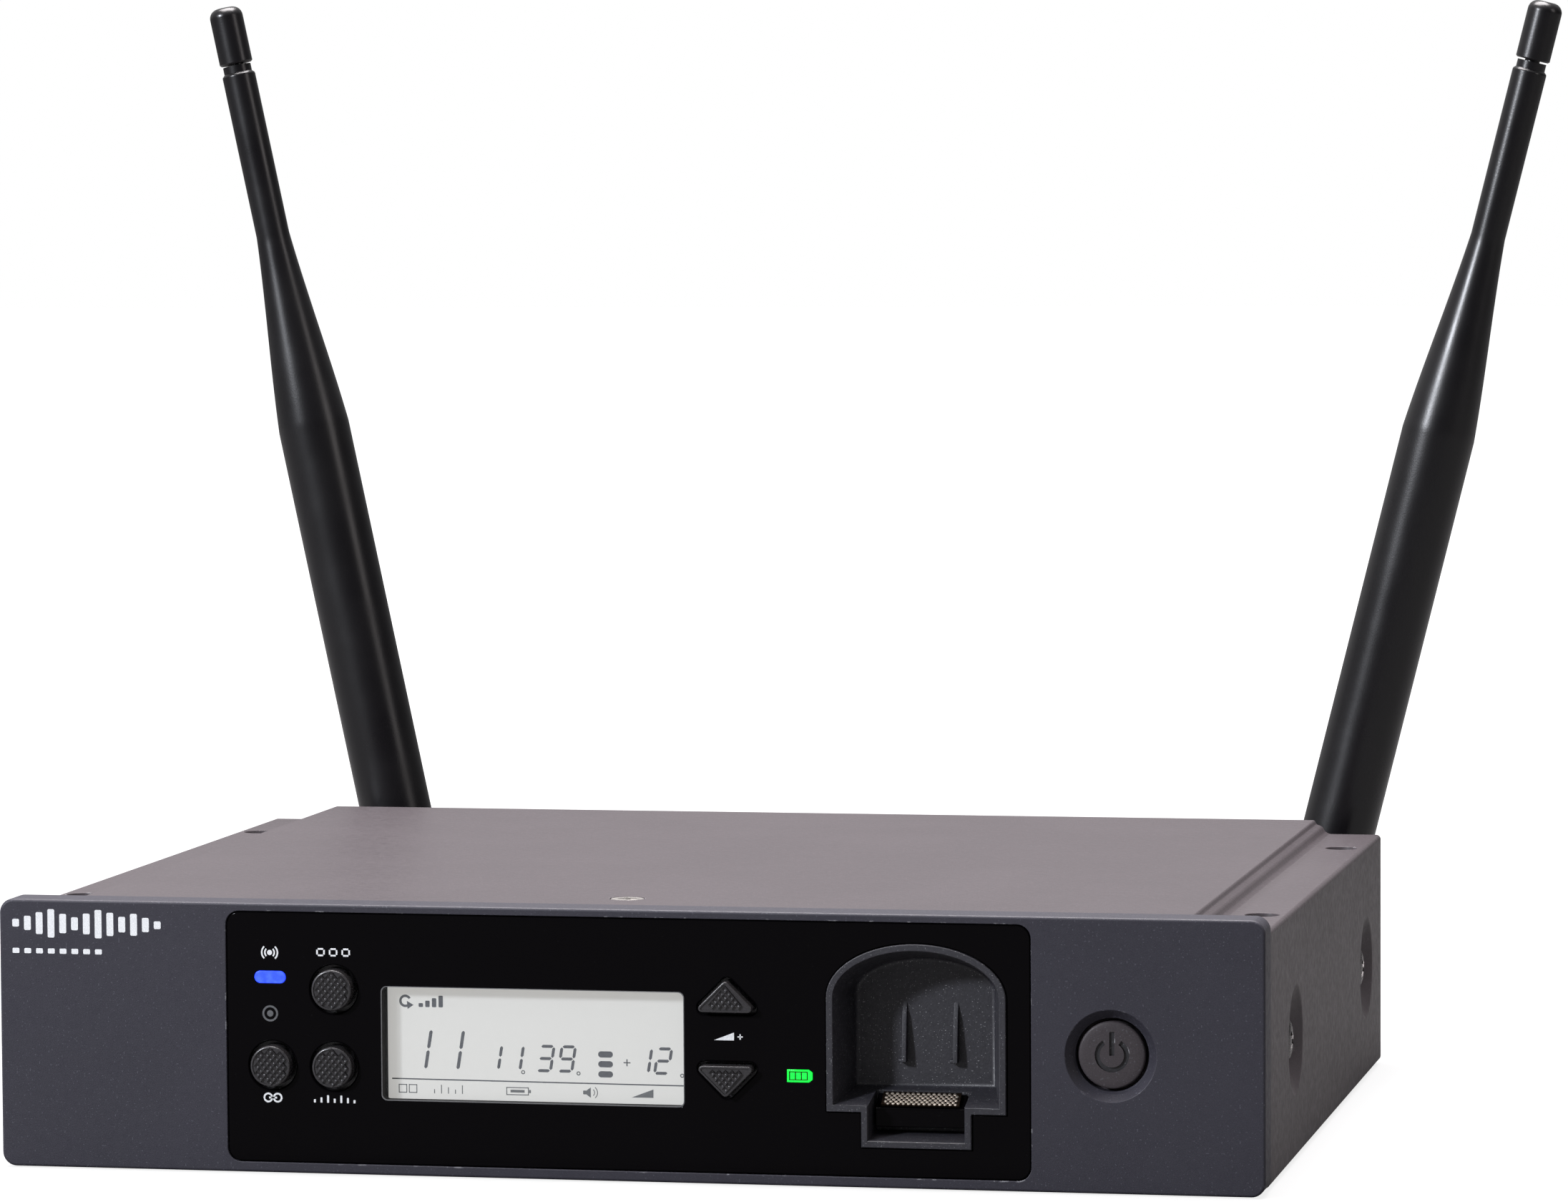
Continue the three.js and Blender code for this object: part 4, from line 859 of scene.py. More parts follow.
def make_contact():
    """The block with its sloping top, and the dimpled contact strip let into the slope."""
    centre = (BLOCK_LOW.x + BLOCK_HIGH.x) / 2
    half = (BLOCK_HIGH.x - BLOCK_LOW.x) / 2
    front = BLOCK_LOW.y
    back = front + 2.8
    edge, top = BLOCK_HIGH.z - 2.0, BLOCK_HIGH.z
    side = [(front, BLOCK_LOW.z), (back, BLOCK_LOW.z), (back, top), (front, edge)]
    block = rings([[(x, y, z) for y, z in side] for x in (centre - half, centre + half)])
    tail = cuboid(centre - 4.4, centre + 4.4, back - 0.5, BLOCK_HIGH.y, 9.75, 11.85)
    piece("contact_block", block, PANEL_GLOSS, node="charge_contact_block", bevel=0.16)
    piece("contact_block_tail", tail, PANEL_GLOSS)
    slope = Vector((0, back - front, top - edge))
    along = slope.normalized()
    out = Vector((0, -along.z, along.y))
    start = Vector((centre, front, edge))
    wide, lift = 12.0, 0.18
    low, high = 0.3, slope.length - 0.22
    strip = rings([
        [
            start + Vector((across, 0, 0)) + along * step + out * rise
            for step, rise in ((low, lift), (high, lift), (high, lift + 0.3), (low, lift + 0.3))
        ]
        for across in (-wide / 2, wide / 2)
    ])
    domes = []
    pitch, row_pitch = 0.8, 0.44
    turn = out.to_track_quat("Z", "X").to_matrix().to_4x4()
    for row in range(int((high - low) / row_pitch)):
        for column in range(int(wide / pitch) + 1):
            shift = (column + 0.25 + 0.5 * (row % 2)) * pitch - wide / 2
            if abs(shift) > wide / 2 - 0.25:
                continue
            place = start + Vector((shift, 0, 0))
            place = place + along * (low + (row + 0.7) * row_pitch) + out * (lift + 0.28)
            dome = lathe(DIMPLE, "z", segments=12)
            domes.append(moved(dome, Matrix.Translation(place) @ turn))
    piece("contact_strip", strip, BRONZE, node="charge_contact_plate")
    piece("contact_strip_points", merged(*domes), CONTACT_POINTS)


# ---- the case


def anticlockwise(points):
    area = sum(a.x * b.y - b.x * a.y for a, b in zip(points, points[1:] + points[:1]))
    return points if area > 0 else points[::-1]


def mirrored(points):
    return [Vector((-point.x, point.y)) for point in points]


JOGGLE = [
    (0.0, 0.0), (0.08, 0.03), (0.14, 0.12), (0.18, 0.24), (0.24, 0.31), (0.45, 0.42),
    (0.55, 0.49), (0.62, 0.60), (0.70, 0.78), (0.78, 0.87), (0.95, 0.97), (1.03, 1.0),
]


def cover_section():
    """The folded sheet: plateau, joggle down to the ledge, side wall and the lip under it."""
    top, foot, half = COVER_HIGH.z, COVER_LOW.z, COVER_HIGH.x
    fold, inner_fold, lip = 0.75, 0.15, 3.5
    outer, inner = [], []
    wide, drop = LEDGE_HALF - PLATEAU_HALF, top - LEDGE_TOP
    for across, down in JOGGLE:
        outer.append(Vector((PLATEAU_HALF + wide * across, top - drop * down)))
        inner.append(Vector((PLATEAU_HALF + wide * across - 0.45, top - drop * down - SHEET)))
    for corner_z, up in ((LEDGE_TOP, 1), (foot, -1)):
        start = 0.25 if up > 0 else 0.0
        outer += arc(half - fold, corner_z - up * fold, fold, start, start - 0.25, 8)
        inset = SHEET + inner_fold
        inner += arc(half - inset, corner_z - up * inset, inner_fold, start, start - 0.25, 8)
    outer.append(Vector((half - lip, foot)))
    inner.append(Vector((half - lip, foot + SHEET)))
    right = outer + inner[::-1]
    return anticlockwise(mirrored(outer[::-1]) + right + mirrored(inner))


def dish_tools(side, node):
    """The pressed cup round a case screw, the hollow inside it and the screw's hole."""
    screw = middle(node)
    place = (0, screw.y, screw.z)
    wall = COVER_HIGH.x
    floor = wall - DISH_DEPTH
    flat = DISH_FLOOR_RADIUS
    rim = DISH_RADIUS
    cup = [(0, floor - SHEET), (flat + 1.2, floor - SHEET)]
    cup += [(rim + 1, wall - 1.0), (rim + 1, wall - 0.4), (0, wall - 0.4)]
    hollow = [(0, floor), (flat - 0.5, floor)]
    hollow += [(flat - 0.5 + 0.9 * math.sin(t), floor + 0.28 * (1 - math.cos(t))) for t in (0.35, 0.7, 1.0)]
    hollow += [(rim - 0.55, wall - 0.42), (rim - 0.2, wall - 0.2), (rim + 0.1, wall - 0.06)]
    hollow += [(rim + 0.5, wall + 0.02), (rim + 0.5, wall + 2), (0, wall + 2)]

    def sided(profile):
        return lathe([(radius, along * side) for radius, along in profile], "x", place, ROUND)

    ends = sorted((side * (wall - 8), side * (wall + 1)))
    return sided(cup), sided(hollow), rod(1.7, *ends, "x", place)


def make_cover():
    shell = prism(cover_section(), COVER_LOW.y, COVER_HIGH.y, 0.14, 0.14)
    cups, holes = [], []
    for side, label in ((-1, "left"), (1, "right")):
        for end in ("front", "rear"):
            cup, hollow, hole = dish_tools(side, f"{label}_{end}_case_screw")
            cups.append(cup)
            holes += [hollow, hole]
        for place in LEDGE_HOLES["places"]:
            radius = LEDGE_HOLES["radius"]
            bore = [(0, 34), (radius, 34), (radius, LEDGE_TOP - 0.16), (radius + 0.05, LEDGE_TOP - 0.05)]
            bore += [(radius + 0.16, LEDGE_TOP + 0.01), (radius + 0.16, 43), (0, 43)]
            holes.append(lathe(bore, "z", (side * LEDGE_HOLES["x"], place, 0)))
    screw = middle("top_screw")
    top = COVER_HIGH.z
    seat = [(0, 39), (1.8, 39), (1.8, top - 1.2), (2.7, top - 0.3)]
    seat += [(2.75, top - 0.05), (2.9, top + 0.01), (2.9, 43), (0, 43)]
    holes.append(lathe(seat, "z", (screw.x, screw.y, 0)))
    piece("cover_shell", cut(fuse(shell, *cups), *holes), COVER_PAINT, node="top_cover")


# Radii of the round holes in the rear panel, by the part that goes through each.
REAR_HOLES = {
    "left_antenna_socket": 4.9, "right_antenna_socket": 4.9, "xlr_shell": 11.9, "jack_socket": 5.0,
    "xlr_upper_screw": 1.5, "xlr_lower_screw": 1.5,
}


def make_base():
    """The base tray: its floor, side flanges, front tabs and the rear panel with its cut-outs."""
    low, high = span("chassis_base")
    front, half = low.y, high.x
    flange_top, rear_top, tab_inner = 36, 37.6, 86.8
    before, past = REAR - 4, REAR + 4
    inner = REAR - SHEET
    shapes = []
    for side in (-1, 1):
        near, far = sorted((side * (half - SHEET), side * half))
        shapes.append(cuboid(near, far, front, REAR - 0.3, 0, flange_top))
        near, far = sorted((side * tab_inner, side * half))
        shapes.append(cuboid(near, far, front, front + SHEET, 0, flange_top))
    shapes.append(prism(rounded_rect(-half, half, 0, rear_top, 0.4), inner, REAR, 0, 0.12))
    reach, above_lip = COVER_HIGH.x - SHEET - 0.25, COVER_LOW.z + SHEET + 0.4
    shapes.append(prism(rounded_rect(-reach, reach, above_lip, rear_top, 0.4), inner, REAR, 0, 0.12))
    shapes.append(prism(
        rounded_rect(-PLATEAU_HALF + 2, PLATEAU_HALF - 2, rear_top - 1, high.z, 0.4), inner, REAR, 0, 0.12,
    ))
    tray = fuse(cuboid(-half, half, front, REAR - 0.3, 0, SHEET), *shapes)
    holes = []
    for node, radius in REAR_HOLES.items():
        centre = middle(node)
        holes.append(rod(radius, before, past, "y", (centre.x, 0, centre.z)))
    inlet_low, inlet_high = span("dc_inlet")
    room = 0.3
    holes.append(cuboid(
        inlet_low.x - room, inlet_high.x + room, before, past, inlet_low.z - room, inlet_high.z + room,
    ))
    x, _, z = middle("level_switch_body")
    slot = rounded_rect(x - 3.8, x + 3.8, z - 1.9, z + 1.9, 0.3)
    holes.append(prism(slot, before, past))
    for side in ("left", "right"):
        for level in ("lower", "upper"):
            centre = middle(f"{side}_{level}_bezel_screw")
            holes.append(rod(1.6, front - 1, front + 3, "y", (centre.x, 0, centre.z), segments=24))
    posts = []
    for number in range(1, 5):
        centre = middle(f"board_screw_{number}")
        post = rod(3, 0.5, 5.7, "z", (centre.x, centre.y, 0), segments=32)
        posts.append(cut(post, rod(1.3, 2, 8, "z", (centre.x, centre.y, 0), segments=24)))
    tray = cut(tray, *holes)
    piece("base_tray", merged(tray, *posts), COVER_PAINT, node="chassis_base")


# ---- rear connectors


def make_xlr():
    low, high = span("xlr_shell")
    x, _, z = middle("xlr_shell")
    seat = REAR_SEAT
    wide, tall = 13, 15.5
    flange = prism(rounded_rect(x - wide, x + wide, z - tall, z + tall, 3), seat, high.y, 0.1, 0.5, 4)
    ring = rod(11.7, high.y - 0.4, high.y, "y", (x, 0, z))
    barrel = rod(11.6, low.y, REAR + 1, "y", (x, 0, z))
    bore = [(0, low.y + 4), (9.6, low.y + 4), (9.6, high.y - 0.5), (9.75, high.y - 0.15)]
    bore += [(10.1, high.y + 0.02), (10.1, high.y + 1), (0, high.y + 1)]
    holes = [lathe(bore, "y", (x, 0, z), FINE_ROUND)]
    for node in ("xlr_upper_screw", "xlr_lower_screw"):
        centre = middle(node)
        holes.append(rod(1.7, REAR - 1, high.y + 1, "y", (centre.x, 0, centre.z), segments=32))
    piece("xlr_housing", cut(fuse(flange, ring, barrel), *holes), PLATED, node="xlr_shell")
    insert_low, insert_high = span("xlr_insert")
    floor = FACE + 136
    disc = rod(9.3, insert_low.y, floor, "y", (x, 0, z), 0.3)
    key = cuboid(x - 1.4, x + 1.4, floor - 1, floor + 9, z - 9.3, z - 8.2, 0.3)
    piece("xlr_core", merged(disc, key), BLACK_PLASTIC, node="xlr_insert")
    pins = []
    for turn in (0.25, 0.25 + 1 / 3, 0.25 + 2 / 3):
        pin_x, pin_z = polar(4.9, turn, (x, z))
        pins.append(rod(1.2, floor - 1, insert_high.y, "y", (pin_x, 0, pin_z), 0.7, 32))
    piece("xlr_pins", merged(*pins), PLATED)


def mouth_end(rear):
    """The end of a round bore where it opens at the back, with its broken edge."""
    return [(3.6, rear + 0.01), (3.6, rear + 1), (0, rear + 1)]


def make_jack():
    low, high = span("jack_socket")
    nut = middle("jack_nut")
    x, z = nut.x, nut.z
    body = cuboid(x - 8, x + 8, low.y, REAR - SHEET - 0.3, z - 8, z + 8, 0.4)
    thread = [(0, REAR - 4)]
    turns = 14
    for step in range(turns):
        along = REAR - 2 + (high.y - 0.5 - REAR + 2) * step / (turns - 1)
        thread.append((4.7 if step % 2 else 4.45, along))
    thread += [(4.4, high.y), (0, high.y)]
    bore = [(0, FACE + 125), (3.25, FACE + 125), (3.25, high.y - 0.4), *mouth_end(high.y)]
    shape = cut(fuse(body, lathe(thread, "y", (x, 0, z))), lathe(bore, "y", (x, 0, z)))
    piece("jack_body", shape, BLACK_PLASTIC, node="jack_socket")
    low, high = span("jack_nut")
    corners = [Vector(polar(7.8, i / 6, (x, z))) for i in range(6)]
    hexagon = prism(corners, low.y, high.y)
    sides = [(4.9, low.y), (9, low.y), (9, high.y - 0.9), (6.6, high.y), (4.9, high.y), (4.9, low.y)]
    shape = combined(hexagon, [lathe(sides, "y", (x, 0, z), FINE_ROUND)], "INTERSECT")
    piece("jack_hex_nut", shape, PLATED, node="jack_nut")


def make_inlet():
    low, high = span("dc_inlet")
    x, _, z = middle("dc_inlet")
    body = cuboid(low.x, high.x, low.y, high.y, low.z, high.z, 0.5)
    mouth = [(0, FACE + 142), (3.1, FACE + 142), (3.1, high.y - 0.5), *mouth_end(high.y)]
    shape = cut(body, lathe(mouth, "y", (x, 0, z)))
    piece("dc_inlet_body", shape, BLACK_PLASTIC, node="dc_inlet")
    pin = rod(1.0, FACE + 141, REAR - 0.6, "y", (x, 0, z), 0.3, 32)
    piece("dc_inlet_pin", pin, PLATED)


def make_level_knob():
    low, high = span("level_switch_knob")
    x, _, z = middle("level_switch_knob")
    shoe = cuboid(x - 3, x + 3, low.y, low.y + 0.7, z - 2.6, z + 2.6)
    grip = cuboid(x - 1.4, x + 1.4, low.y + 0.3, high.y, z - 1.5, z + 1.5, 0.2)
    grooves = [
        cuboid(x + dx - 0.16, x + dx + 0.16, high.y - 0.5, high.y + 1, z - 2, z + 2)
        for dx in (-0.7, 0, 0.7)
    ]
    shape = cut(fuse(grip, shoe), *grooves)
    piece("level_slider_grip", shape, BLACK_PLASTIC, "level_slider", "level_switch_knob")


# ---- screws


def cross_screw(head_radius, head_tall, shank_radius, shank_long, countersunk=False):
    """A cross-recess screw standing along +Z with its seat at the origin."""
    profile = [(0, -shank_long), (shank_radius, -shank_long)]
    if countersunk:
        profile += [(shank_radius, -1.4), (head_radius - 0.08, -0.12)]
        profile += [(head_radius, -0.04), (head_radius - 0.08, 0.0), (0, 0.06)]
    else:
        profile += [(shank_radius, 0), (head_radius - 0.1, 0)]
        profile += [(head_radius, 0.1), (head_radius, head_tall * 0.42)]
        for step in range(1, 6):
            angle = math.pi / 2 * step / 5
            rise = head_tall * (0.42 + 0.58 * math.sin(angle))
            profile.append((head_radius * math.cos(angle * 0.92), rise))
        profile.append((0, head_tall))
    arm, slot = head_radius * 0.62, head_radius * 0.15
    low = -0.95 if countersunk else head_tall * 0.35
    crosses = []
    for wide, deep in ((arm, slot), (slot, arm)):
        crosses.append(rings([
            [(wide * s * a, deep * s * b, z) for a, b in ((-1, -1), (1, -1), (1, 1), (-1, 1))]
            for z, s in ((low, 0.6), (head_tall + 1, 1.25))
        ]))
    return cut(lathe(profile, "z"), fuse(*crosses))


def make_screws():
    for side, label in ((-1, "left"), (1, "right")):
        for end in ("front", "rear"):
            node = f"{label}_{end}_case_screw"
            seat = middle(node)
            seat.x = span(node)[1].x - 1.55 if side > 0 else span(node)[0].x + 1.55
            turn = Matrix.Rotation(side * math.pi / 2, 4, "Y") @ Matrix.Rotation(0.3 + 0.5 * side, 4, "Z")
            shape = moved(cross_screw(3.3, 1.55, 1.2, 5), Matrix.Translation(seat) @ turn)
            piece(f"{label}_{end}_dish_screw", shape, SCREW_BLACK, node=node)
    place = middle("top_screw")
    place.z = COVER_HIGH.z - 0.06
    turn = Matrix.Rotation(0.35, 4, "Z")
    shape = moved(cross_screw(2.55, 0.1, 1.2, 6, True), Matrix.Translation(place) @ turn)
    piece("cover_screw", shape, SCREW, node="top_screw")
    back = Matrix.Rotation(-math.pi / 2, 4, "X")
    for label in ("upper", "lower"):
        node = f"xlr_{label}_screw"
        centre, high = middle(node), span(node)[1]
        place = Matrix.Translation((centre.x, high.y - 1.5, centre.z)) @ back @ Matrix.Rotation(0.4, 4, "Z")
        shape = moved(cross_screw(2.6, 1.5, 1.2, 3.2), place)
        piece(f"xlr_{label}_fixing", shape, SCREW, node=node)


# ---- antennas

PLATE_TURN = Matrix(((0, -1, 0, 0), (1, 0, 0, 0), (0, 0, 1, 0), (0, 0, 0, 1)))
WHIP_RADIUS = 6.3
WHIP_THIN = 2.95
EAR_RADIUS = 5.0
COLLAR = {
    "start": FACE + 154.6, "end": FACE + 159.6, "radius": 7.2, "groove": 6.95, "bore": 5.1, "ribs": 36,
}
WHIP_MARKS = {"start": 7.6, "taper_start": 89, "taper_end": 124, "end": 154.8, "tip": 165.3}


def whip_profile():
    start, taper, thin, end = (WHIP_MARKS[key] for key in ("start", "taper_start", "taper_end", "end"))
    profile = [(0, start), *quarter((WHIP_RADIUS - 0.6, start), (WHIP_RADIUS, start + 0.6), 5)]
    for step in range(1, 9):
        profile.append((WHIP_RADIUS, start + 0.6 + (taper - start - 0.6) * step / 8))
    steps = 24
    for step in range(1, steps + 1):
        t = step / steps
        eased = 0.75 * t + 0.25 * t * t * (3 - 2 * t)
        profile.append((WHIP_RADIUS + (WHIP_THIN - WHIP_RADIUS) * eased, taper + (thin - taper) * t))
    neck = WHIP_THIN - 0.45
    profile += [(WHIP_THIN, end - 1.9), (WHIP_THIN - 0.06, end - 1.65), (neck, end - 1.3), (neck, end)]
    profile += [(1.3, end), (1.3, end + 5), (0, end + 5)]
    return profile


def tip_profile():
    end, tip = WHIP_MARKS["end"], WHIP_MARKS["tip"]
    start = end + 0.3
    profile = [(0, end + 5.4), (1.6, end + 5.4), (1.6, start)]
    profile += [(WHIP_THIN - 0.25, start), (WHIP_THIN, start + 0.25)]
    dome = 1.7
    return profile + quarter((WHIP_THIN, tip - dome), (WHIP_THIN - dome, tip), 8, True) + [(0, tip)]


def eye_plate(radius, near, far, reach, turn):
    """A plate across the pin with one round end about it, the other reaching out at a turn about X."""
    outline = [Vector((reach, -radius)), Vector((reach, radius)), *arc(0, 0, radius, 0.25, 0.75, 32)]
    shape = prism(anticlockwise(outline), -far, -near, 0.3, 0.3)
    return moved(shape, Matrix.Rotation(turn, 4, "X") @ PLATE_TURN)


def pin_hole():
    return rod(1.8, -8, 8, "x", (0, 0, 0), segments=32)


def make_antenna(side):
    joint = JOINTS[f"{side}_antenna_fold"]
    pivot = Vector(joint["pos_m"]) / MM
    lean = math.atan2(joint["axis"][2], -joint["axis"][0])
    place = Matrix.Translation(pivot) @ Matrix.Rotation(lean, 4, "Y")
    swivel, mast = f"{side}_swivel", f"{side}_mast"

    socket_low, socket_high = span(f"{side}_antenna_socket")
    seat = REAR_SEAT
    profile = [(0, socket_low.y), (4.4, socket_low.y), (4.4, seat), (7.0, seat)]
    profile += [(7.2, seat + 0.2), (7.2, seat + 1.1), (7.0, seat + 1.3), (4.9, seat + 1.5)]
    turns = 12
    for step in range(turns):
        along = seat + 1.9 + (socket_high.y - 0.4 - seat - 1.9) * step / (turns - 1)
        profile.append((4.7 if step % 2 else 4.5, along))
    profile += [(4.4, socket_high.y), (2.2, socket_high.y), (2.2, REAR - 0.5), (0, REAR - 0.5)]
    shape = lathe(profile, "y", (pivot.x, 0, pivot.z))
    piece(f"{side}_antenna_jack", shape, PLATED, node=f"{side}_antenna_socket")

    start, end = COLLAR["start"] - pivot.y, COLLAR["end"] - pivot.y
    steps = 4 * COLLAR["ribs"]
    radii = (COLLAR["radius"], COLLAR["radius"], COLLAR["groove"], COLLAR["groove"])
    ring = [Vector(polar(radii[i % 4], i / steps)) for i in range(steps)]
    bore = rod(COLLAR["bore"], start - 1, end + 1, "y", (0, 0, 0))
    collar = cut(prism(ring, start, end, 0.35, 0.35), bore)
    shape = moved(collar, place)
    piece(f"{side}_knurled_collar", shape, PLATED, swivel, f"{side}_antenna_collar")

    disc_front = COLLAR["end"] + 0.3 - pivot.y
    disc = rod(6.6, disc_front, disc_front + 1.3, "y", (0, 0, 0), 0.35)
    ears = []
    for ear in (-1, 1):
        near, far = sorted((ear * 2.7, ear * 5.6))
        ears.append(eye_plate(EAR_RADIUS, near, far, -disc_front - 0.5, math.pi))
    shape = cut(fuse(disc, *ears), pin_hole())
    piece(f"{side}_elbow", moved(shape, place), ANTENNA, swivel, f"{side}_antenna_knuckle")
    pin = rod(1.6, -5.9, 5.9, "x", (0, 0, 0), 0.3, 32)
    piece(f"{side}_elbow_pin", moved(pin, place), SCREW, swivel, f"{side}_antenna_pin")

    tongue = eye_plate(EAR_RADIUS - 0.2, -2.3, 2.3, WHIP_MARKS["start"] + 1, math.pi / 2)
    stem = fuse(lathe(whip_profile(), "z"), tongue)
    shape = moved(cut(stem, pin_hole()), place)
    piece(f"{side}_whip", shape, ANTENNA, mast, f"{side}_antenna_whip")
    shape = moved(lathe(tip_profile(), "z"), place)
    piece(f"{side}_tip", shape, ANTENNA, mast, f"{side}_antenna_tip")


# ---- lamps, display and printed signs


def make_lamps():
    low, high = span("rf_light_pipe")
    shape = prism(pill_outline("rf_light_pipe", 0), low.y, high.y, 0.12)
    piece("rf_lamp", shape, BLUE, node="rf_light_pipe")
    node = "battery_light_pipe"
    low, high = span(node)
    frame_wide, dark_wide, bar_wide = 0.26, 2.95, 0.69
    window = (low.x + frame_wide, low.x + frame_wide + dark_wide, low.z + frame_wide, high.z - frame_wide)
    hole = cuboid(window[0], window[1], low.y - 1, low.y + 0.3, window[2], window[3])
    body = cut(prism(battery_outline(node, 0), low.y, high.y, 0.05), hole)
    mask = cuboid(window[0], window[1], low.y + 0.2, low.y + 0.29, window[2], window[3])
    piece("battery_mask", mask, BLACK_PLASTIC)
    bars = []
    for i in range(3):
        x = window[0] + 0.22 + i * (bar_wide + 0.22)
        bars.append(cuboid(x, x + bar_wide, low.y + 0.02, low.y + 0.25, window[2] + 0.18, window[3] - 0.18))
    piece("battery_lamp", merged(body, *bars), GREEN, node=node)


class Sign:
    """Flat printed shapes on one plane that faces the front."""

    def __init__(self, front, thick=0.03):
        self.front = front
        self.thick = thick
        self.parts = []

    def fill(self, outline):
        outline = anticlockwise([Vector(point) for point in outline])
        self.parts.append(prism(outline, self.front - self.thick, self.front + 0.02))
        return self

    def box(self, x0, x1, z0, z1):
        return self.fill(rounded_rect(x0, x1, z0, z1, min(x1 - x0, z1 - z0) * 0.2, 3))

    def band(self, x, z, radius, thick, start=0.0, end=1.0):
        """A stretch of a ring, its ends in turns."""
        stretches = 2 if end - start > 0.9 else 1
        for i in range(stretches):
            a = start + (end - start) * i / stretches
            b = start + (end - start) * (i + 1) / stretches
            self.fill(arc(x, z, radius + thick / 2, a, b, 16) + arc(x, z, radius - thick / 2, b, a, 16))
        return self

    def stroke(self, points, thick):
        """Straight strokes through the points, each with square ends."""
        for a, b in zip(points, points[1:]):
            a, b = Vector(a), Vector(b)
            side = (b - a).normalized() * thick / 2
            normal = Vector((-side.y, side.x))
            self.fill([a - side + normal, a - side - normal, b + side - normal, b + side + normal])
        return self

    def frame(self, x0, x1, z0, z1, thick):
        return self.stroke([(x0, z0), (x1, z0), (x1, z1), (x0, z1), (x0, z0)], thick)

    def plus(self, x, z, reach, thick):
        self.stroke([(x - reach, z), (x + reach, z)], thick)
        return self.stroke([(x, z - reach), (x, z + reach)], thick)

    def made(self, name, material, slot=None):
        piece(name, merged(*self.parts), material)


SEGMENTS = {"1": "bc", "2": "abged", "3": "abgcd", "9": "abcdfg"}
DIGIT_SLANT = math.tan(math.radians(9))


def digit(sign, figure, x, z, wide, tall, thick):
    """A slanted seven-segment figure whose lower left corner is at (x, z)."""
    half = tall / 2
    ends = {
        "a": ((0, tall), (wide, tall)), "b": ((wide, half), (wide, tall)), "c": ((wide, 0), (wide, half)),
        "d": ((0, 0), (wide, 0)), "e": ((0, 0), (0, half)), "f": ((0, half), (0, tall)),
        "g": ((0, half), (wide, half)),
    }
    gap = thick * 0.22
    for name in SEGMENTS[figure]:
        a, b = (Vector(point) for point in ends[name])
        along = (b - a).normalized()
        across = Vector((-along.y, along.x)) * thick / 2
        a, b = a + along * gap, b - along * gap
        near, far = a + along * thick / 2, b - along * thick / 2
        bar = [a, near - across, far - across, b, far + across, near + across]
        sign.fill([(x + p.x + p.y * DIGIT_SLANT, z + p.y) for p in bar])


# Figures of the display: the figure, its lower left corner, its width, height and stroke.
FIGURES = (
    [("1", x, 16.1, 1.9, 6.2, 0.52) for x in (-33.3, -28.2)]
    + [
        (figure, x, 16.3, 2.1, 3.75, 0.46)
        for figure, x in (("1", -22.0), ("1", -18.6), ("3", -13.8), ("9", -10.45), ("1", 1.5), ("2", 4.6))
    ]
)


DISPLAY_THICK = 0.02


def make_display():
    ink = Sign(GLASS_FRONT, DISPLAY_THICK)
    for figure in FIGURES:
        digit(ink, *figure)
    for z in (19.0, 17.5, 15.95):
        ink.fill(rounded_rect(-4.2, -1.9, z - 0.48, z + 0.48, 0.46, 6))
    ink.plus(0.3, 17.8, 0.45, 0.18).stroke([(-36.6, 14.6), (9.6, 14.45)], 0.2)
    ink.band(-34.5, 26.6, 0.78, 0.38, 0.08, 0.82).fill([(-34.15, 25.35), (-33.2, 26.0), (-34.25, 26.6)])
    for i in range(4):
        ink.box(-32.4 + 1.05 * i, -31.7 + 1.05 * i, 25.7, 26.3 + 0.4 * i)
    ink.made("display_figures", LCD_INK)
    # A black strip on the glass along the window's left edge: painted shade where the window's left wall darkens
    # the display.
    left_shade = Sign(GLASS_FRONT, DISPLAY_THICK).fill(rounded_rect(-38.5, -37.3, 10.0, 30.8, 0.05))
    left_shade.made("display_left_shade", BLACK_MATT, "key_black")
    grey = Sign(GLASS_FRONT, DISPLAY_THICK)
    grey.frame(-35.6, -34.4, 12.5, 13.7, 0.14).frame(-34.0, -32.8, 12.5, 13.7, 0.14)
    for i in range(5):
        grey.stroke([(-30.0 + 1.1 * i, 12.5), (-30.0 + 1.1 * i, 13.0 + 0.35 * ((i * 2) % 3))], 0.14)
    grey.frame(-18.6, -15.2, 12.5, 13.6, 0.14).box(-15.1, -14.8, 12.8, 13.3)
    grey.stroke([(-17.8, 13.05), (-16.0, 13.05)], 0.42)
    grey.box(-6.6, -6.1, 12.8, 13.4).fill([(-6.1, 12.8), (-5.4, 12.3), (-5.4, 13.9), (-6.1, 13.4)])
    grey.band(-5.4, 13.1, 0.6, 0.13, -0.14, 0.14).band(-5.4, 13.1, 1.05, 0.13, -0.14, 0.14)
    grey.fill([(1.0, 12.5), (4.4, 12.5), (4.4, 13.8)])
    for x in (-16.0, -7.3, 8.9):
        grey.band(x, 16.0, 0.24, 0.16)
    grey.made("display_signs", LCD_GREY)


def window_ring(grow, wall, front, back):
    """A closed frame inside the window: grown by grow, its wall this thick."""
    x0, x1, z0, z1, corner = (WINDOW[key] for key in ("x0", "x1", "z0", "z1", "corner"))
    sides = (x0 - grow, x1 + grow, z0 - grow, z1 + grow)
    gap = (sides[0] + wall, sides[1] - wall, sides[2] + wall, sides[3] - wall)
    hole = prism(rounded_rect(*gap, corner), front - 1, back + 1)
    return cut(prism(rounded_rect(*sides, corner), front, back), hole)


def make_window_glint():
    """The grey ring at the front of the panel's window, a painted highlight for the glint on the window's edge,
    and the dull black wall behind it.
    """
    front = PANEL_LOW.y
    piece("window_glint_ring", window_ring(0.06, 0.12, front + 0.08, front + 0.26), PANE_GLINT_GREY)
    wall = window_ring(0.04, 0.08, front + 0.26, front + 1.98)
    piece("window_wall", wall, BLACK_MATT)


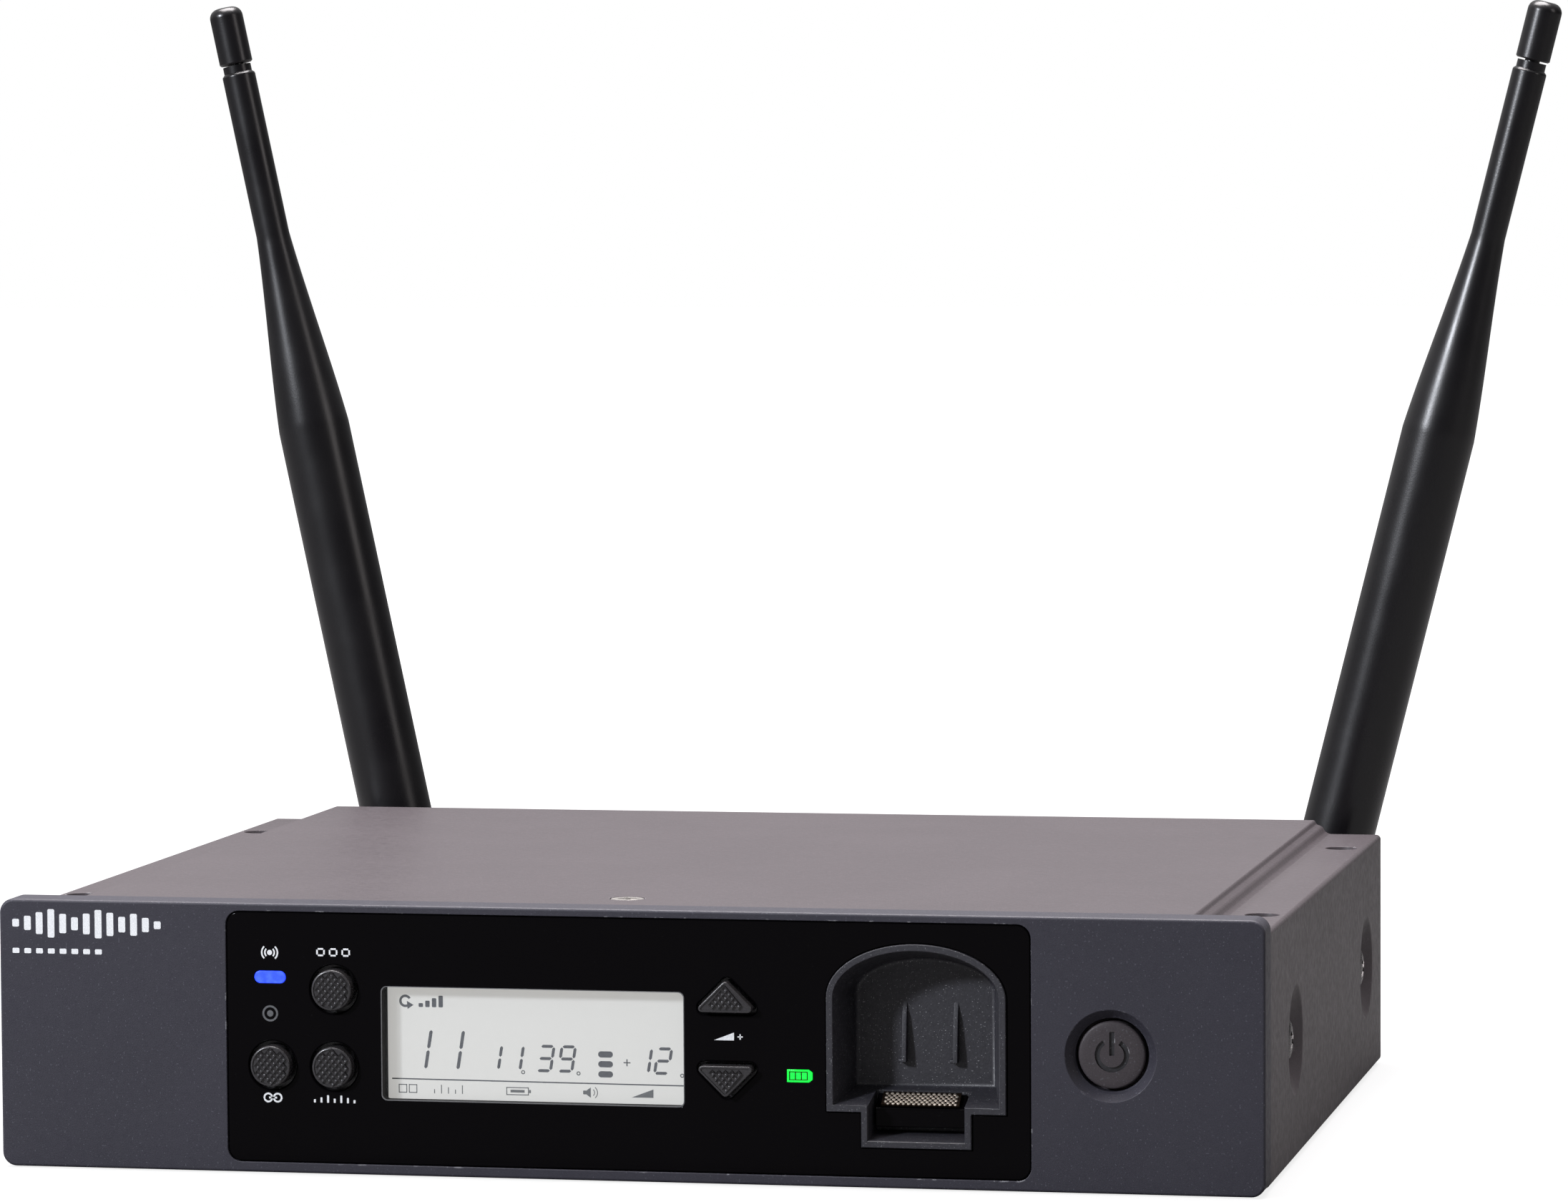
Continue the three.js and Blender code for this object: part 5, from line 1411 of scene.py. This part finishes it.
def make_signs():
    """Small wordless signs where the keys and the lamp are labelled."""
    sign = Sign(PANEL_LOW.y, 0.015)
    x, z = middle("rf_light_pipe").x, 34.1
    sign.band(x, z - 0.1, 0.2, 0.4)
    for radius in (0.75, 1.25):
        sign.band(x, z - 0.1, radius, 0.24, -0.13, 0.13).band(x, z - 0.1, radius, 0.24, 0.37, 0.63)
    x, z = middle("group_button").x, 34.2
    for i in (-1, 0, 1):
        sign.frame(x + 2.0 * i - 0.55, x + 2.0 * i + 0.55, z - 0.5, z + 0.5, 0.26)
    x, z = middle("link_button").x, 11.6
    for side in (-1, 1):
        sign.band(x + side * 0.75, z, 0.62, 0.28)
    sign.stroke([(x - 0.5, z), (x + 0.5, z)], 0.28)
    x, z = middle("channel_button").x, 11.6
    for i, rise in enumerate((0.5, 0.8, 1.15, 0.65, 1.15, 0.8, 0.5)):
        sign.box(x - 3.3 + 1.05 * i, x - 2.98 + 1.05 * i, z - 0.6, z - 0.6 + rise)
    x, z = middle("gain_up_button").x, 22.5
    sign.fill([(x - 2.0, z - 0.55), (x + 1.1, z - 0.55), (x + 1.1, z + 0.65)])
    sign.plus(x + 2.05, z, 0.3, 0.2)
    sign.made("panel_signs", PRINT_WHITE, "panel_gloss")
    grey = Sign(PANEL_LOW.y, 0.012)
    x = middle("rf_light_pipe").x
    grey.band(x, 24.6, 1.1, 0.3).band(x, 24.6, 0.25, 0.5)
    grey.made("panel_mark", PRINT_GREY)
    emblem = Sign(FACE, 0.02)
    left, level = -96.4, 37.9
    for i, tall in enumerate((1.2, 2.2, 3.4, 4.4, 3.0, 2.0, 3.2, 4.4, 3.6, 2.4, 3.4, 2.2, 1.2)):
        emblem.box(left + 1.9 * i, left + 1.9 * i + 1.1, level - tall / 2, level + tall / 2)
    for i in range(8):
        emblem.box(left + 1.9 * i, left + 1.9 * i + 1.1, 33.2, 34.0)
    emblem.made("front_emblem", PRINT_WHITE, "casting_paint")


def make_rear_signs():
    sign = Sign(REAR + 0.018, 0.0)
    x, z = middle("dc_inlet").x, middle("dc_inlet").z + 9
    sign.band(x, z, 0.35, 0.7).band(x, z, 1.15, 0.26, -0.4, 0.4)
    sign.stroke([(x - 3.4, z), (x - 1.6, z)], 0.26).stroke([(x + 1.6, z), (x + 3.4, z)], 0.26)
    x, z = middle("level_switch_body").x, middle("level_switch_body").z + 6.5
    sign.fill([(x - 2.4, z - 0.6), (x + 2.4, z - 0.6), (x - 2.4, z + 0.8)])
    for side in ("left", "right"):
        x, z = middle(f"{side}_antenna_socket").x, middle(f"{side}_antenna_socket").z + 11
        sign.band(x, z, 0.3, 0.6).band(x, z, 1.1, 0.28, -0.12, 0.12).band(x, z, 1.1, 0.28, 0.38, 0.62)
    sign.made("rear_signs", PRINT_WHITE, "cover_paint")


make_bezel()
make_panel()
make_round_keys()
make_gain_keys()
make_power_key()
make_bay()
make_contact()
make_cover()
make_base()
make_xlr()
make_jack()
make_inlet()
make_level_knob()
make_screws()
for side_name in ("left", "right"):
    make_antenna(side_name)
make_lamps()
make_display()
make_window_glint()
make_signs()
make_rear_signs()

# ---- camera, light and floor


CAMERA = {"lens": 152.0, "place": (0.2277, -1.0485, 0.1540), "yaw": 11.731, "pitch": 3.765, "roll": -0.342}
SENSOR_WIDTH = 36
FLOOR_REACH = 6.0
FLOOR_WHITE = 0.12
FLOOR_LIGHT = 0.02
FLOOR_FADE = (0.3, 1.3, 0.82, 1.05)
STUDIO_LIGHT = (-0.2, 0.9, 0.06, 0.6)
STUDIO_UP = (-0.35, 0.2, 0.9)
LIGHTS = (
    # name, place, target, size, power, colour
    ("key", (-0.82, -0.976, 0.61), (-0.4, -0.076, 0.02), (0.14, 0.14), 22, (0.90, 0.93, 1.0)),
    ("overhead", (-0.1, 0.25, 1.5), (0, 0.05, 0), (1.3, 1.1), 82, (1.0, 0.96, 0.97)),
    ("warm_side", (1.1, -0.3, 0.5), (0, 0.02, 0.06), (0.35, 0.5), 1.6, (1.0, 0.94, 0.93)),
)


def make_camera():
    """A long lens, a little above and to the right of the front."""
    data = bpy.data.cameras.new("camera")
    data.lens = CAMERA["lens"]
    data.sensor_width = SENSOR_WIDTH
    data.clip_start = 0.05
    data.clip_end = 20
    camera = bpy.data.objects.new("camera", data)
    bpy.context.scene.collection.objects.link(camera)
    yaw, pitch, roll = (math.radians(CAMERA[angle]) for angle in ("yaw", "pitch", "roll"))
    aim = Matrix.Rotation(yaw, 4, "Z") @ Matrix.Rotation(math.pi / 2 - pitch, 4, "X")
    camera.matrix_world = Matrix.Translation(CAMERA["place"]) @ aim @ Matrix.Rotation(roll, 4, "Z")
    bpy.context.scene.camera = camera


def area_light(name, place, target, size, power, colour):
    data = bpy.data.lights.new(name, "AREA")
    data.shape = "RECTANGLE"
    data.size, data.size_y = size
    data.energy = power
    data.color = colour
    light = bpy.data.objects.new(name, data)
    bpy.context.scene.collection.objects.link(light)
    light.location = place
    light.rotation_mode = "QUATERNION"
    light.rotation_quaternion = (Vector(place) - Vector(target)).to_track_quat("Z", "Y")


def make_stage():
    """A plain pale floor that fades into the white of the studio further out."""
    mesh = bpy.data.meshes.new("floor")
    corners = [(x * FLOOR_REACH, y * FLOOR_REACH, 0) for x, y in ((-1, -1), (1, -1), (1, 1), (-1, 1))]
    mesh.from_pydata(corners, [], [(0, 1, 2, 3)])
    floor = bpy.data.objects.new("floor", mesh)
    bpy.context.scene.collection.objects.link(floor)
    floor.location.z = -0.0002
    paint = Paint("floor_white", (FLOOR_WHITE,) * 3, 0.9).sheen_level(0.0)
    far = paint.node("ShaderNodeVectorMath", {0: paint.coordinates["Object"]}, operation="LENGTH")
    fade = paint.ramp(far.outputs["Value"], *FLOOR_FADE, "SMOOTHSTEP")
    paint.glow((1, 1, 1), paint.seen(FLOOR_LIGHT, fade))
    mesh.materials.append(paint.material)


def make_world():
    """A studio whose light comes from above, and slightly from the left, before a white backdrop."""
    world = bpy.data.worlds.new("studio")
    bpy.context.scene.world = world
    world.use_nodes = True
    graph = Graph(world.node_tree)
    up = {0: graph.coordinates["Generated"], 1: STUDIO_UP}
    slope = graph.node("ShaderNodeVectorMath", up, operation="DOT_PRODUCT")
    above = graph.ramp(slope.outputs["Value"], *STUDIO_LIGHT, "SMOOTHSTEP")
    background = graph.tree.nodes["Background"]
    background.inputs["Color"].default_value = (1, 1, 1, 1)
    graph.put(background.inputs["Strength"], graph.seen(above, 1.0))


make_camera()
make_stage()
make_world()
for light in LIGHTS:
    area_light(*light)
bpy.context.scene.view_settings.view_transform = "Standard"

bpy.context.view_layer.update()
